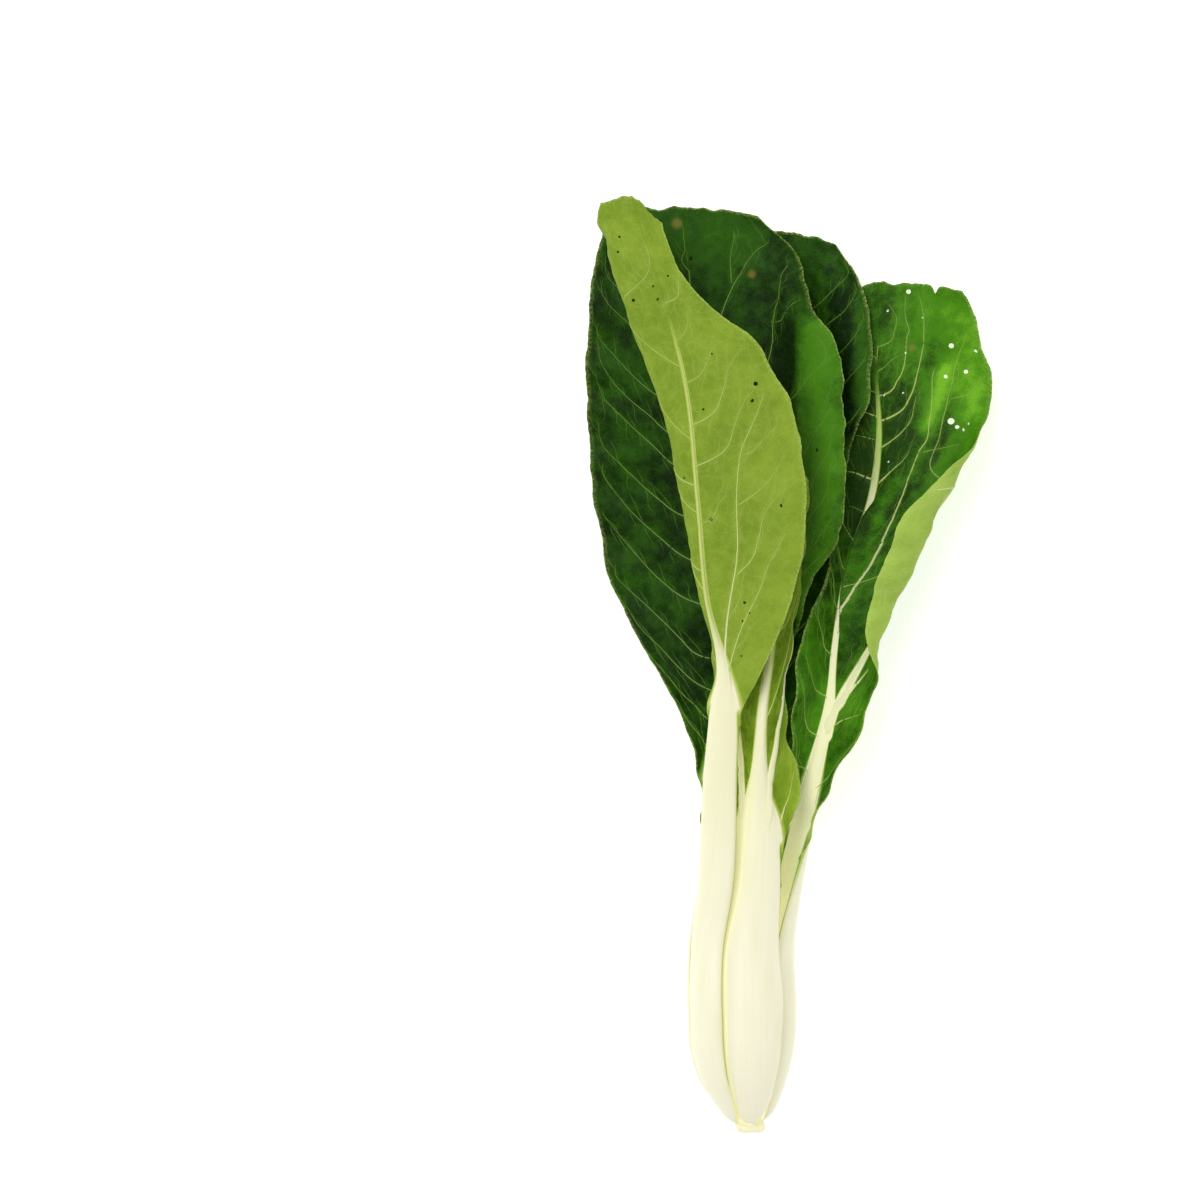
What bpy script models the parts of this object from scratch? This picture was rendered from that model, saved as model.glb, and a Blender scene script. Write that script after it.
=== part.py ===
"""A head of white-stemmed bok choy, cut at its base and lying on a table.

Frame: metres, +Z up from the table, +Y from the cut base to the leaf tips, +X to the right seen from above.
The origin is the flat spot under the lowest stalk. The shapes below are written in millimetres, with y counted
from the cut base, and are moved by ORIGIN and scaled by MM when a mesh is made.
Every leaf is one curved sheet. Its white stalk runs out into the midrib, and the green blade lies round the midrib.
"""
import math

import bpy
import numpy as np

MM = 0.001
ORIGIN = (-4.8, 45.0)          # x and y of the flat spot on which the head rests, in the millimetres used below
GAP = 0.45                     # clear space between a stalk's edge and its blade

# Whorl of stalks round the crown
WHORL_X = -4.3                 # axis of the whorl
WHORL_Z = 17.7
WHORL = ((7, 7.4), (10, 8.9), (17, 12.2), (27, 14.9), (38, 15.6), (60, 15.3))   # (y, radius to mid stalk)
IMBRICATE = 13                 # each stalk is turned this far, so that one edge lies over its neighbour
REST_Z = 0.0                   # height of the table

# Sheet
BLADE = 0.8                    # thickness of a blade
VEIN = 0.45                    # height of a side vein on the underside
VEIN_SIDE = 1.8                # half-width of a side vein's ridge
EDGE = 0.22                    # thickness of a stalk's edge as a share of its middle
RIB = 0.16                     # height of the fine ribs along the back of a stalk
TURNS = (0.0, 0.25, 0.5, 0.75, 1.0)   # shares of a half-width at which its direction is given

# Mesh
OUTER = {"columns": 6, "back": 9, "front": 5}    # faces across half a blade, points across a stalk's back and front
HEART = {"columns": 3, "back": 7, "front": 3}
LOWER_RINGS = 9                # rings of a stalk below its blade
SLOT_END = 1.2                 # from the end of the midrib to the row that closes the blade above it
CURVE_STEPS = 48               # steps in which a cross-section is added up
ROW_BOW = 1.5                  # power by which a row of faces curves towards the leaf's edge

COLOURS = {
    "crown": (0.80, 0.79, 0.52, 1.0),
    "stalk": (0.86, 0.88, 0.74, 1.0),
    "underside": (0.26, 0.42, 0.05, 1.0),
    "inner_face": (0.05, 0.19, 0.02, 1.0),
    "heart": (0.38, 0.52, 0.09, 1.0),
}

# Leaves. face is 1 where the underside is up and -1 where the inner face is up; angle is the stalk's place in the
# whorl, counted from +X towards +Z. spine is (y, x, z) of the midrib and tilt (y, turn about it, right side up).
# half is (y, half-width of stalk or midrib), thick (y, thickness), cup (y, angle by which the stalk's edges turn in).
# rows are (y, left reach, left rise, right reach, right rise): how far the blade reaches from the midrib, measured
# along the sheet, and how much further up its edge lies. left and right are (y, directions at TURNS), up is positive.
LEAVES = {
    "1": {
        "face": 1, "angle": 149, "colour": "underside",
        "spine": ((82, -14.6, 31.0), (110, -13.0, 35.0), (138, -11.0, 39.0), (150, -11.2, 40.5),
                  (171, -15.8, 42.0), (200, -18.6, 42.6), (242, -23.2, 40.6), (270, -30.6, 37.0), (299, -40.0, 32.0)),
        "tilt": ((82, 55), (110, 40), (138, 27), (155, 18), (180, 12), (220, 8), (299, 5)),
        "half": ((7, 4.6), (17, 9.0), (30, 11.0), (45, 11.2), (82, 9.0), (110, 7.2), (135, 5.2), (150, 2.4),
                 (170, 1.5), (230, 1.0), (270, 0.6)),
        "thick": ((7, 2.6), (17, 4.6), (35, 5.8), (60, 5.4), (100, 4.2), (140, 3.0), (170, 2.2), (270, 1.1)),
        "cup": ((7, 35), (20, 50), (60, 50), (110, 40), (135, 30)),
        "rows": ((135, 5.8, 0, 6.2, 0), (150, 9, 3, 15.4, 5), (160, 14, 6, 24, 12), (171, 18, 9, 30.5, 16),
                 (185, 21, 10, 33, 18), (200, 23, 10, 33, 18), (215, 24, 9, 31.5, 16), (230, 25, 8, 27, 13),
                 (244, 28, 6, 22, 10), (256, 29, 4, 15.5, 5), (268, 28, 2, 10.5, 1), (280, 25, 0, 8.0, -2),
                 (290, 19, -1, 8.4, -4), (299, 12, -1, 10.0, -7)),
        "left": ((150, -25, -45, -60, -70, -75), (171, -26, -60, -110, -140, -150), (200, -14, -46, -120, -165, -175),
                 (242, -4, -12, -70, -160, -180), (270, 0, -6, -50, -150, -178), (299, 0, -4, -10, -40, -80)),
        "right": ((150, -8, -14, -18, -20, -22), (180, -2, -8, -14, -18, -22), (220, 0, -6, -12, -18, -26),
                  (256, 0, -4, -8, -10, -12), (299, 0, -4, -8, -10, -14)),
        "wave": (0.9, 27, 0.3), "end": 262,
    },
    "2": {
        "face": 1, "angle": 82, "colour": "underside",
        "spine": ((82, -0.4, 32.6), (110, 0.6, 32.6), (139, 2.2, 33.4), (152, 4.0, 33.6), (185, 6.5, 33.0),
                  (216, 6.5, 30.5)),
        "tilt": ((82, 8), (110, 2), (150, 0), (216, -4)),
        "half": ((7, 4.2), (14, 7.6), (27, 11.0), (42, 12.0), (62, 10.0), (85, 8.4), (100, 7.0), (110, 4.2),
                 (124, 2.5), (139, 1.9), (170, 1.3), (200, 0.8)),
        "thick": ((7, 2.6), (17, 4.8), (35, 6.0), (60, 5.4), (95, 4.2), (125, 3.2), (150, 2.2), (200, 1.1)),
        "cup": ((7, 35), (20, 50), (60, 48), (95, 38), (110, 30)),
        "rows": ((92, 8.3, 0, 8.6, 0), (100, 9.5, 2, 12.5, 3), (108, 11, 5, 16.0, 5), (118, 13, 8, 12.2, 8),
                 (128, 15, 10, 11.8, 10),
                 (142, 15, 12, 13.0, 12), (160, 14, 12, 13, 12), (180, 12.5, 10, 12.5, 9), (196, 12, 6, 12, 5),
                 (208, 12, 1, 12, 1), (216, 9, -4, 9, -4)),
        "left": ((110, -14, -26, -34, -36, -34), (140, -12, -22, -28, -30, -30), (216, -10, -18, -22, -24, -26)),
        "right": ((104, -8, -20, -28, -32, -30), (116, -10, -26, -40, -48, -50), (132, -14, -34, -50, -62, -66),
                  (160, -14, -34, -48, -58, -60), (216, -10, -18, -24, -28, -30)),
        "wave": (0.7, 25, 1.4), "end": 196,
    },
    "3": {
        "face": -1, "angle": -16, "colour": "inner_face",
        "spine": ((82, 13.2, 14.0), (100, 16.0, 15.2), (118, 19.8, 16.8), (137, 23.9, 17.6), (155, 25.6, 16.6),
                  (185, 31.2, 13.4), (204, 37.8, 11.0), (222, 40.3, 9.6), (247, 39.6, 8.8), (274, 41.0, 8.6)),
        "tilt": ((82, 72), (100, 52), (114, 36), (126, 22), (138, 12), (160, 6), (200, 4), (274, 0)),
        "half": ((7, 4.4), (17, 9.0), (30, 11.0), (45, 11.4), (82, 8.6), (105, 6.8), (125, 4.6), (137, 3.2),
                 (155, 1.9), (185, 1.4), (235, 0.9), (250, 0.6)),
        "thick": ((7, 2.6), (17, 4.6), (35, 5.8), (60, 5.2), (100, 4.0), (137, 3.0), (160, 2.2), (250, 1.1)),
        "cup": ((7, 35), (20, 50), (60, 48), (95, 38), (115, 26)),
        "rows": ((101, 7.6, 0, 8.2, 0), (112, 8.5, 3, 11, 4), (122, 12, 5, 15.5, 7), (132, 16, 6, 19.5, 9),
                 (142, 16, 7, 27, 11), (152, 13, 8, 34, 12), (162, 7.2, 8, 39, 12), (172, 5.2, 7, 43, 12),
                 (182, 5.6, 6, 44, 12), (192, 7.5, 7, 43, 11), (206, 9.2, 6, 39, 9), (220, 12.4, 5, 36, 8),
                 (238, 15.5, 4, 36.5, 7), (252, 14, 2, 34, 2), (263, 12, -1, 31, 0), (274, 9, -3, 27, -3)),
        "left": ((112, 6, 14, 24, 44, 84), (122, 6, 18, 56, 98, 84), (134, 6, 34, 80, 72, 50),
                 (148, 4, 40, 66, 54, 36),
                 (162, 0, 20, 30, 26, 20), (182, -4, 0, 2, 2, 2), (206, -10, -14, -12, -8, -6),
                 (274, -8, -12, -12, -8, -6)),
        "right": ((114, 0, 4, 8, 14, 20), (132, 4, 8, 16, 30, 50), (144, 10, 18, 44, 120, 160),
                  (160, 12, 16, 34, 148, 178), (184, 14, 16, 30, 150, 178), (198, 18, 16, 18, 130, 176),
                  (212, 20, 16, 6, 50, 150), (222, 20, 14, 2, 4, 30), (238, 16, 12, 2, -4, -8),
                  (274, 12, 8, 0, -6, -12)),
        "wave": (0.9, 25, 2.2), "end": 244,
    },
    "4": {
        "face": -1, "angle": 219, "colour": "inner_face",
        "spine": ((82, -13.2, 8.8), (110, -11.4, 9.6), (138, -11.2, 10.8), (165, -13.0, 12.0), (200, -15.0, 12.4),
                  (240, -18.2, 12.0), (298, -22.0, 10.6)),
        "tilt": ((82, -36), (110, -18), (138, -6), (165, 0), (298, 0)),
        "half": ((7, 3.8), (17, 7.4), (30, 8.8), (45, 9.0), (82, 7.6), (105, 6.2), (125, 4.2), (145, 2.4),
                 (180, 1.6), (240, 1.0), (275, 0.6)),
        "thick": ((7, 2.6), (17, 4.4), (35, 5.4), (60, 5.0), (100, 4.0), (137, 3.0), (170, 2.2), (275, 1.1)),
        "cup": ((7, 35), (20, 48), (60, 46), (100, 34), (120, 22)),
        "rows": ((108, 7.0, 0, 7.0, 0), (124, 12, 4, 11, 4), (138, 19, 7, 17, 7), (150, 26, 9, 25, 9),
                 (160, 31, 10, 29.5, 10), (170, 35, 10, 35, 10), (181, 37, 10, 46, 9), (198, 39, 10, 52, 8),
                 (216, 39, 9, 53.5, 7),
                 (235, 38, 7, 52, 3), (250, 36, 5, 48, 3), (265, 34, 2, 40, -1), (280, 31, 0, 38, -8),
                 (290, 28, -1, 36, -9), (298, 25, -1, 23, -3)),
        "left": ((138, -6, -8, -8, -6, -4), (180, -6, -14, -18, -16, -8), (230, -6, -14, -18, -14, -6),
                 (298, -6, -10, -14, -12, -4)),
        "right": ((138, 4, 4, 6, 10, 12), (160, 2, 2, 8, 22, 12), (176, 0, 0, 6, 46, 6), (190, 0, 0, 6, 52, -8),
                  (230, 0, -2, 4, 52, -14),
                  (256, 0, -2, 4, 34, -6), (298, 0, -2, 0, 4, 4)),
        "wave": (0.9, 28, 0.9), "end": 266,
    },
    "5": {
        "face": -1, "angle": 276, "colour": "inner_face",
        "spine": ((82, -0.6, 3.2), (110, 1.6, 2.9), (138, 4.0, 2.3), (165, 6.4, 1.7), (200, 8.6, 0.95),
                  (240, 9.6, 0.9), (291, 8.6, 2.2)),
        "tilt": ((82, 14), (110, 8), (138, 3), (165, 0), (291, 0)),
        "half": ((7, 3.8), (17, 8.0), (30, 9.9), (45, 10.2), (82, 8.2), (105, 6.6), (125, 4.4), (145, 2.4),
                 (180, 1.6), (240, 1.0), (270, 0.6)),
        "thick": ((7, 2.6), (17, 4.4), (35, 5.6), (60, 5.0), (100, 4.0), (137, 3.0), (170, 2.2), (270, 1.1)),
        "cup": ((7, 35), (20, 48), (60, 46), (100, 34), (120, 22)),
        "rows": ((108, 7.4, 0, 7.4, 0), (124, 10, 4, 9.5, 4), (140, 15, 7, 11, 6), (160, 22, 9, 12, 8),
                 (180, 28, 10, 12.5, 8), (190, 31, 10, 13.5, 8), (200, 33, 9, 16, 8), (210, 34, 8, 21, 7),
                 (220, 35, 7, 27.3, 7), (232, 35, 6, 32, 6), (245, 34, 4, 32, 5), (256, 32, 3, 31, 3),
                 (270, 29, 0, 28, 0), (282, 25, -2, 24, -3), (291, 19, -4, 18, -5)),
        "left": ((140, 0, 0, 2, 3, 4), (200, 0, 0, 1, 2, 4), (291, 0, 0, 1, 2, 4)),
        "right": ((140, 0, 4, 8, 10, 10), (180, 0, 6, 12, 16, 16), (198, 0, 10, 24, 24, 12),
                  (214, 0, 20, 43, 30, 2), (256, 0, 16, 42, 26, -12), (291, 0, 6, 14, 12, 0)),
        "wave": (0.8, 27, 1.9), "end": 262,
    },
}

# Young leaves inside the whorl, written in the same way. start is the height at which the stalk leaves the crown.
HEARTS = {
    "1": {
        "face": 1, "angle": 100, "colour": "heart", "start": ((24, 3.4), (34, 5.6), (48, 6.6)),
        "spine": ((70, -3.6, 25.6), (100, -1.4, 26.4), (124, 0.4, 25.8), (141, 0.6, 24.0)),
        "tilt": ((70, 12), (141, 0)),
        "half": ((24, 2.6), (40, 5.0), (62, 4.6), (78, 3.2), (95, 1.6), (118, 0.9)),
        "thick": ((24, 1.8), (40, 2.8), (70, 2.4), (95, 1.8), (118, 1.0)),
        "cup": ((24, 30), (45, 48), (68, 40)),
        "rows": ((68, 4.8, 0, 4.8, 0), (84, 8, 4, 7, 4), (100, 9.5, 6, 7.5, 6), (118, 9, 4, 7.5, 4),
                 (132, 7, 0, 6.5, 0), (141, 5, -3, 5, -3)),
        "left": ((84, -14, -28, -40, -50, -54), (141, -12, -26, -38, -46, -50)),
        "right": ((84, -14, -28, -40, -50, -54), (141, -12, -26, -38, -46, -50)),
        "wave": (0.4, 24, 0.5), "end": 116,
    },
    "2": {
        "face": -1, "angle": 222, "colour": "heart", "start": ((24, 3.4), (34, 5.6), (48, 6.4)),
        "spine": ((70, -8.4, 14.4), (100, -6.8, 15.2), (128, -5.0, 16.4), (148, -4.0, 17.6)),
        "tilt": ((70, -30), (110, -18), (148, -8)),
        "half": ((24, 2.6), (40, 4.8), (62, 4.4), (78, 3.0), (95, 1.6), (122, 0.9)),
        "thick": ((24, 1.8), (40, 2.6), (70, 2.4), (95, 1.8), (122, 1.0)),
        "cup": ((24, 30), (45, 46), (68, 38)),
        "rows": ((68, 4.6, 0, 4.6, 0), (84, 7, 4, 6.4, 4), (102, 8.5, 6, 7.6, 6), (122, 9, 4, 8, 4),
                 (138, 7, 0, 7, 0), (148, 5, -3, 5, -3)),
        "left": ((84, 12, 26, 36, 42, 44), (148, 10, 20, 30, 34, 36)),
        "right": ((84, 12, 24, 32, 38, 40), (148, 10, 20, 28, 32, 34)),
        "wave": (0.4, 26, 1.1), "end": 120,
    },
    "3": {
        "face": -1, "angle": 340, "colour": "heart", "start": ((24, 3.4), (34, 5.4), (48, 6.2)),
        "spine": ((70, 3.2, 15.8), (96, 5.8, 16.2), (116, 7.4, 16.8), (130, 8.4, 17.4)),
        "tilt": ((70, 66), (130, 50)),
        "half": ((24, 2.4), (40, 4.4), (58, 4.0), (72, 2.8), (86, 1.5), (106, 0.9)),
        "thick": ((24, 1.8), (40, 2.4), (66, 2.2), (86, 1.6), (106, 1.0)),
        "cup": ((24, 30), (45, 44), (62, 36)),
        "rows": ((62, 4.2, 0, 4.2, 0), (78, 5.4, 3, 4.4, 3), (94, 6, 4, 4.4, 4), (110, 5.6, 3, 4.4, 3),
                 (122, 5, 0, 4.5, 0), (130, 4, -2, 3.5, -2)),
        "left": ((78, 14, 26, 34, 40, 42), (130, 10, 22, 30, 34, 36)),
        "right": ((78, 14, 26, 34, 40, 42), (130, 10, 22, 30, 34, 36)),
        "wave": (0.3, 23, 2.0), "end": 104,
    },
}

# Crown: (y, x, radius) of the cut stem and of the dome that carries the young leaves
CROWN = ((0.8, -1.8, 4.8), (1.4, -1.8, 5.6), (3.6, -2.2, 6.0), (5.6, -3.2, 5.0), (9.0, -4.1, 4.6),
         (13.0, -4.3, 6.0), (17.0, -4.3, 6.2), (20.5, -4.3, 4.6), (22.4, -4.3, 2.4))
CROWN_POINTS = 16


def smooth(knots, at, monotone=False):
    """Values at the places `at` on a cubic curve through knots of (place, value, ...)."""
    table = np.array(knots, dtype=float)
    place = table[:, 0]
    value = table[:, 1:]
    step = np.diff(place)[:, None]
    slope = np.diff(value, axis=0) / step
    tangent = np.zeros_like(value)
    tangent[0] = slope[0]
    tangent[-1] = slope[-1]
    before = slope[:-1]
    after = slope[1:]
    if monotone:
        same_way = before * after > 0
        total = np.where(same_way, before + after, 1.0)
        tangent[1:-1] = np.where(same_way, 2 * before * after / total, 0.0)
    else:
        tangent[1:-1] = (before * step[1:] + after * step[:-1]) / (step[1:] + step[:-1])
    at = np.clip(np.atleast_1d(np.asarray(at, dtype=float)), place[0], place[-1])
    low = np.clip(np.searchsorted(place, at, side="right") - 1, 0, len(place) - 2)
    width = step[low]
    part = ((at - place[low])[:, None]) / width
    square = part * part
    cube = square * part
    return ((2 * cube - 3 * square + 1) * value[low] + (cube - 2 * square + part) * width * tangent[low]
            + (3 * square - 2 * cube) * value[low + 1] + (cube - square) * width * tangent[low + 1])


def whorl_places(leaf):
    """Spine and tilt of the lower stalk, from its place in the whorl."""
    angle = math.radians(leaf["angle"])
    rings = leaf.get("start", WHORL)
    spine = [(y, WHORL_X + r * math.cos(angle), WHORL_Z + r * math.sin(angle)) for y, r in rings]
    turn = leaf["angle"] - 90 * leaf["face"] + IMBRICATE
    turn = (turn + 180) % 360 - 180
    tilt = [(rings[0][0], turn), (rings[-1][0], turn)]
    return spine, tilt


def leaf_shape(leaf, detail):
    """The leaf with its spine and tilt from the crown to the tip, and its blade joined to the stalk's own curve."""
    spine, tilt = whorl_places(leaf)
    shape = {**leaf, **detail}
    shape["spine"] = tuple(spine) + tuple(leaf["spine"])
    shape["tilt"] = tuple(tilt) + tuple(leaf["tilt"])
    first = leaf["rows"][0][0]
    cup = -leaf["face"] * smooth(leaf["cup"], first)[0, 0]
    joined = (first,) + tuple(cup * turn for turn in TURNS)
    shape["left"] = (joined,) + tuple(leaf["left"])
    shape["right"] = (joined,) + tuple(leaf["right"])
    return shape


def cross_section(shape, y, side, lengths):
    """Points at arc lengths from the spine: offsets in x and z, and the sheet's direction there, in radians."""
    first = shape["rows"][0][0]
    if y < first:
        reach = smooth(shape["half"], y, True)[0, 0]
        turns = -shape["face"] * smooth(shape["cup"], y)[0, 0] * np.array(TURNS)
    else:
        reach = row_values(shape, y, side)[0]
        turns = smooth(shape["left" if side < 0 else "right"], y)[0]
    share = np.linspace(0.0, 1.0, CURVE_STEPS + 1)
    bend = smooth(tuple(zip(TURNS, turns)), share)[:, 0]
    direction = np.radians(smooth(shape["tilt"], y)[0, 0] + side * bend)
    along = share * reach
    run_x = np.concatenate(([0.0], np.cumsum(np.diff(along) * np.cos((direction[1:] + direction[:-1]) / 2))))
    run_z = np.concatenate(([0.0], np.cumsum(np.diff(along) * np.sin((direction[1:] + direction[:-1]) / 2))))
    offset_x = side * np.interp(lengths, along, run_x)
    offset_z = side * np.interp(lengths, along, run_z)
    return offset_x, offset_z, np.interp(lengths, along, direction)


def row_values(shape, y, side):
    """Reach of the blade from the midrib and rise of its edge at height y."""
    values = smooth(shape["rows"], y, True)[0]
    return (values[0], values[1]) if side < 0 else (values[2], values[3])


def stalk_rows(shape):
    """Heights of the rings of a stalk, from the crown to the end of the midrib."""
    start = shape["half"][0][0]
    first = shape["rows"][0][0]
    lower = start + (first - start) * np.linspace(0.0, 1.0, LOWER_RINGS) ** 1.25
    heights, _, tip = blade_rows(shape)
    return list(lower) + [y for y in heights if first < y <= tip]


def blade_rows(shape):
    """Heights of the rows of a blade, whether a side vein runs along each, and where the midrib ends."""
    first = shape["rows"][0][0]
    last = shape["rows"][-1][0]
    count = max(3, round((last - first) / shape["wave"][1]))
    pitch = (last - first) / count
    heights = [first]
    veins = [False]
    for index in range(count):
        vein = first + (index + 0.5) * pitch
        for height, is_vein in ((vein - VEIN_SIDE, False), (vein, True), (vein + VEIN_SIDE, False)):
            heights.append(height)
            veins.append(is_vein and index < count - 1)
        heights.append(first + (index + 1) * pitch)
        veins.append(False)
    closing = sum(height <= shape["end"] for height in heights)
    tip = heights[closing - 1]
    heights.insert(closing, tip + SLOT_END)
    veins.insert(closing, False)
    return heights, veins, tip


def sheet_point(shape, y, side, lengths):
    """Points of the leaf's middle surface at arc lengths from the midrib on one side."""
    spine = smooth(shape["spine"], y)[0]
    offset_x, offset_z, direction = cross_section(shape, y, side, lengths)
    reach, rise = row_values(shape, y, side)
    half = smooth(shape["half"], y, True)[0, 0]
    share = np.clip((np.asarray(lengths) - half) / (reach - half), 0.0, 1.0)
    amount, pitch, start = shape["wave"]
    height = y + rise * share ** ROW_BOW
    wave = amount * share ** 3 * np.sin(math.tau * height / pitch * 1.6 + start + side)
    x = spine[0] + offset_x - wave * np.sin(direction)
    z = spine[1] + offset_z + wave * np.cos(direction)
    return np.stack((x, height, z), axis=-1)


def blade_grid(shape):
    """Middle surface of a blade: for each row its points from the left edge to the right edge, and its ridges."""
    heights, veins, tip = blade_rows(shape)
    rows = []
    ridges = []
    for y, is_vein in zip(heights, veins):
        inner = smooth(shape["half"], y, True)[0, 0] + GAP
        share = np.linspace(0.0, 1.0, shape["columns"] + 1)
        halves = []
        for side in (-1, 1):
            reach = row_values(shape, y, side)[0]
            halves.append(sheet_point(shape, y, side, inner + (reach - inner) * share))
        across = VEIN * (1 - share) * is_vein
        if y <= tip:
            across[0] = 0.0
        points = list(halves[0][::-1])
        ridge = list(across[::-1])
        if y > tip:
            points.append(sheet_point(shape, y, 1, np.array([0.0]))[0])
            ridge.append(VEIN)
        points.extend(halves[1])
        ridge.extend(across)
        rows.append(np.array(points))
        ridges.append(np.array(ridge))
    return rows, ridges


def grid_faces(rows, columns):
    """Quads between the rows. Rows with a slot for the midrib have one point less than whole rows."""
    starts = np.cumsum([0] + [len(row) for row in rows])
    faces = []
    slotted = 2 * (columns + 1)
    for index in range(len(rows) - 1):
        low = starts[index]
        high = starts[index + 1]
        low_whole = len(rows[index]) > slotted
        high_whole = len(rows[index + 1]) > slotted
        for half in (0, 1):
            skip = half * (columns + 1)
            for column in range(columns):
                a = low + skip + column + (half if low_whole else 0)
                b = high + skip + column + (half if high_whole else 0)
                faces.append((a, a + 1, b + 1, b))
        if low_whole and high_whole:
            for column in (columns, columns + 1):
                faces.append((low + column, low + column + 1, high + column + 1, high + column))
    return faces


def grid_normals(points, faces):
    """Mean normal at each point of the middle surface."""
    normals = np.zeros_like(points)
    for face in faces:
        a, b, c, d = (points[index] for index in face)
        normal = np.cross(c - a, d - b)
        for index in face:
            normals[index] += normal
    return normals / np.linalg.norm(normals, axis=1)[:, None]


def thick_sheet(name, points, faces, normals, upper, lower):
    """Closed body of the middle surface, with its upper and lower faces split into triangles alike."""
    count = len(points)
    top = points + normals * upper[:, None]
    bottom = points - normals * lower[:, None]
    edges = {}
    triangles = []
    for a, b, c, d in faces:
        for triangle in ((a, b, c), (a, c, d)):
            triangles.append(triangle)
            triangles.append((triangle[0] + count, triangle[2] + count, triangle[1] + count))
        for start, end in ((a, b), (b, c), (c, d), (d, a)):
            edges[(start, end)] = True
    for start, end in edges:
        if (end, start) not in edges:
            triangles.append((end, start, start + count))
            triangles.append((end, start + count, end + count))
    return add_mesh(name, np.concatenate((top, bottom)), triangles)


def add_mesh(name, points, faces):
    """New object from points in millimetres, none of them below the table."""
    points = np.array(points)
    points[:, :2] -= ORIGIN
    points[:, 2] = np.maximum(points[:, 2], REST_Z)
    mesh = bpy.data.meshes.new(name)
    mesh.from_pydata([tuple(float(value) * MM for value in point) for point in points], [],
                     [tuple(int(index) for index in face) for face in faces])
    mesh.update()
    obj = bpy.data.objects.new(name, mesh)
    bpy.context.scene.collection.objects.link(obj)
    return obj


def build_blade(name, shape):
    """Green blade: waved edges, and side veins raised on its underside."""
    rows, ridges = blade_grid(shape)
    points = np.concatenate(rows)
    ridge = np.concatenate(ridges)
    faces = grid_faces(rows, shape["columns"])
    normals = grid_normals(points, faces)
    plain = np.full(len(points), BLADE / 2)
    upper = plain + (ridge if shape["face"] > 0 else 0.0)
    lower = plain + (ridge if shape["face"] < 0 else 0.0)
    return thick_sheet(name, points, faces, normals, upper, lower)


def stalk_ring(shape, y):
    """Closed outline of a stalk at height y: ribbed back, hollow front."""
    half = smooth(shape["half"], y, True)[0, 0]
    thick = smooth(shape["thick"], y, True)[0, 0]
    spine = smooth(shape["spine"], y)[0]
    back = np.linspace(-1.0, 1.0, shape["back"])
    front = np.linspace(1.0, -1.0, shape["front"] + 2)[1:-1]
    share = np.concatenate((back, front))
    outward = np.concatenate((np.ones(len(back)), -np.ones(len(front))))
    x = np.zeros(len(share))
    z = np.zeros(len(share))
    direction = np.zeros(len(share))
    for side in (-1, 1):
        here = share * side >= 0
        x[here], z[here], direction[here] = cross_section(shape, y, side, np.abs(share[here]) * half)
    depth = thick / 2 * (EDGE + (1 - EDGE) * (1 - np.abs(share) ** 2.2))
    ribs = np.where(np.arange(len(share)) % 2 == 1, RIB, 0.0) * (outward > 0) * min(1.0, half / 8)
    offset = (depth + ribs) * outward * shape["face"]
    x = spine[0] + x - offset * np.sin(direction)
    z = spine[1] + z + offset * np.cos(direction)
    return np.stack((x, np.full(len(share), y), z), axis=-1)


def build_stalk(name, shape):
    """White stalk from the crown, running out into the midrib."""
    rings = [stalk_ring(shape, y) for y in stalk_rows(shape)]
    return loft(name, rings, shape["face"])


def loft(name, rings, way):
    """Closed body through rings of equally many points, closed at both ends round a middle point.

    way is 1 where the points of a ring run clockwise, seen along +Y, and -1 where they run the other way.
    """
    count = len(rings[0])
    points = list(np.concatenate(rings))
    triangles = []
    for index in range(len(rings) - 1):
        low = index * count
        for point in range(count):
            after = (point + 1) % count
            triangles.append((low + point, low + after, low + count + after))
            triangles.append((low + point, low + count + after, low + count + point))
    for low, turned in ((0, True), ((len(rings) - 1) * count, False)):
        middle = len(points)
        points.append(np.mean(rings[0 if turned else -1], axis=0))
        for point in range(count):
            pair = (low + point, low + (point + 1) % count)
            triangles.append((middle, pair[1], pair[0]) if turned else (middle, pair[0], pair[1]))
    if way < 0:
        triangles = [triangle[::-1] for triangle in triangles]
    return add_mesh(name, points, triangles)


def build_crown():
    """Short stem with its cut face and the dome inside the stalks."""
    rings = []
    for y, centre, radius in CROWN:
        turn = np.arange(CROWN_POINTS) * math.tau / CROWN_POINTS
        wobble = radius * (1 + 0.04 * np.sin(3 * turn + 0.7 * y) + 0.03 * np.cos(5 * turn))
        x = centre + wobble * np.cos(turn)
        z = WHORL_Z + wobble * np.sin(turn)
        rings.append(np.stack((x, np.full(CROWN_POINTS, y), z), axis=-1))
    return loft("crown", rings, -1)


def material(name, colour, roughness):
    """Principled material of a piece."""
    result = bpy.data.materials.new(name)
    result.use_nodes = True
    shader = result.node_tree.nodes["Principled BSDF"]
    shader.inputs["Base Color"].default_value = colour
    shader.inputs["Roughness"].default_value = roughness
    shader.inputs["Metallic"].default_value = 0.0
    result.diffuse_color = colour
    return result


def finish(obj, surface):
    """Give a piece its material and soft shading with sharp edges kept."""
    obj.data.materials.append(surface)
    obj.data.shade_smooth()
    obj.data.set_sharp_from_angle(angle=math.radians(50))


def clear_scene():
    """Remove what the scene holds."""
    for obj in list(bpy.data.objects):
        bpy.data.objects.remove(obj, do_unlink=True)


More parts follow.
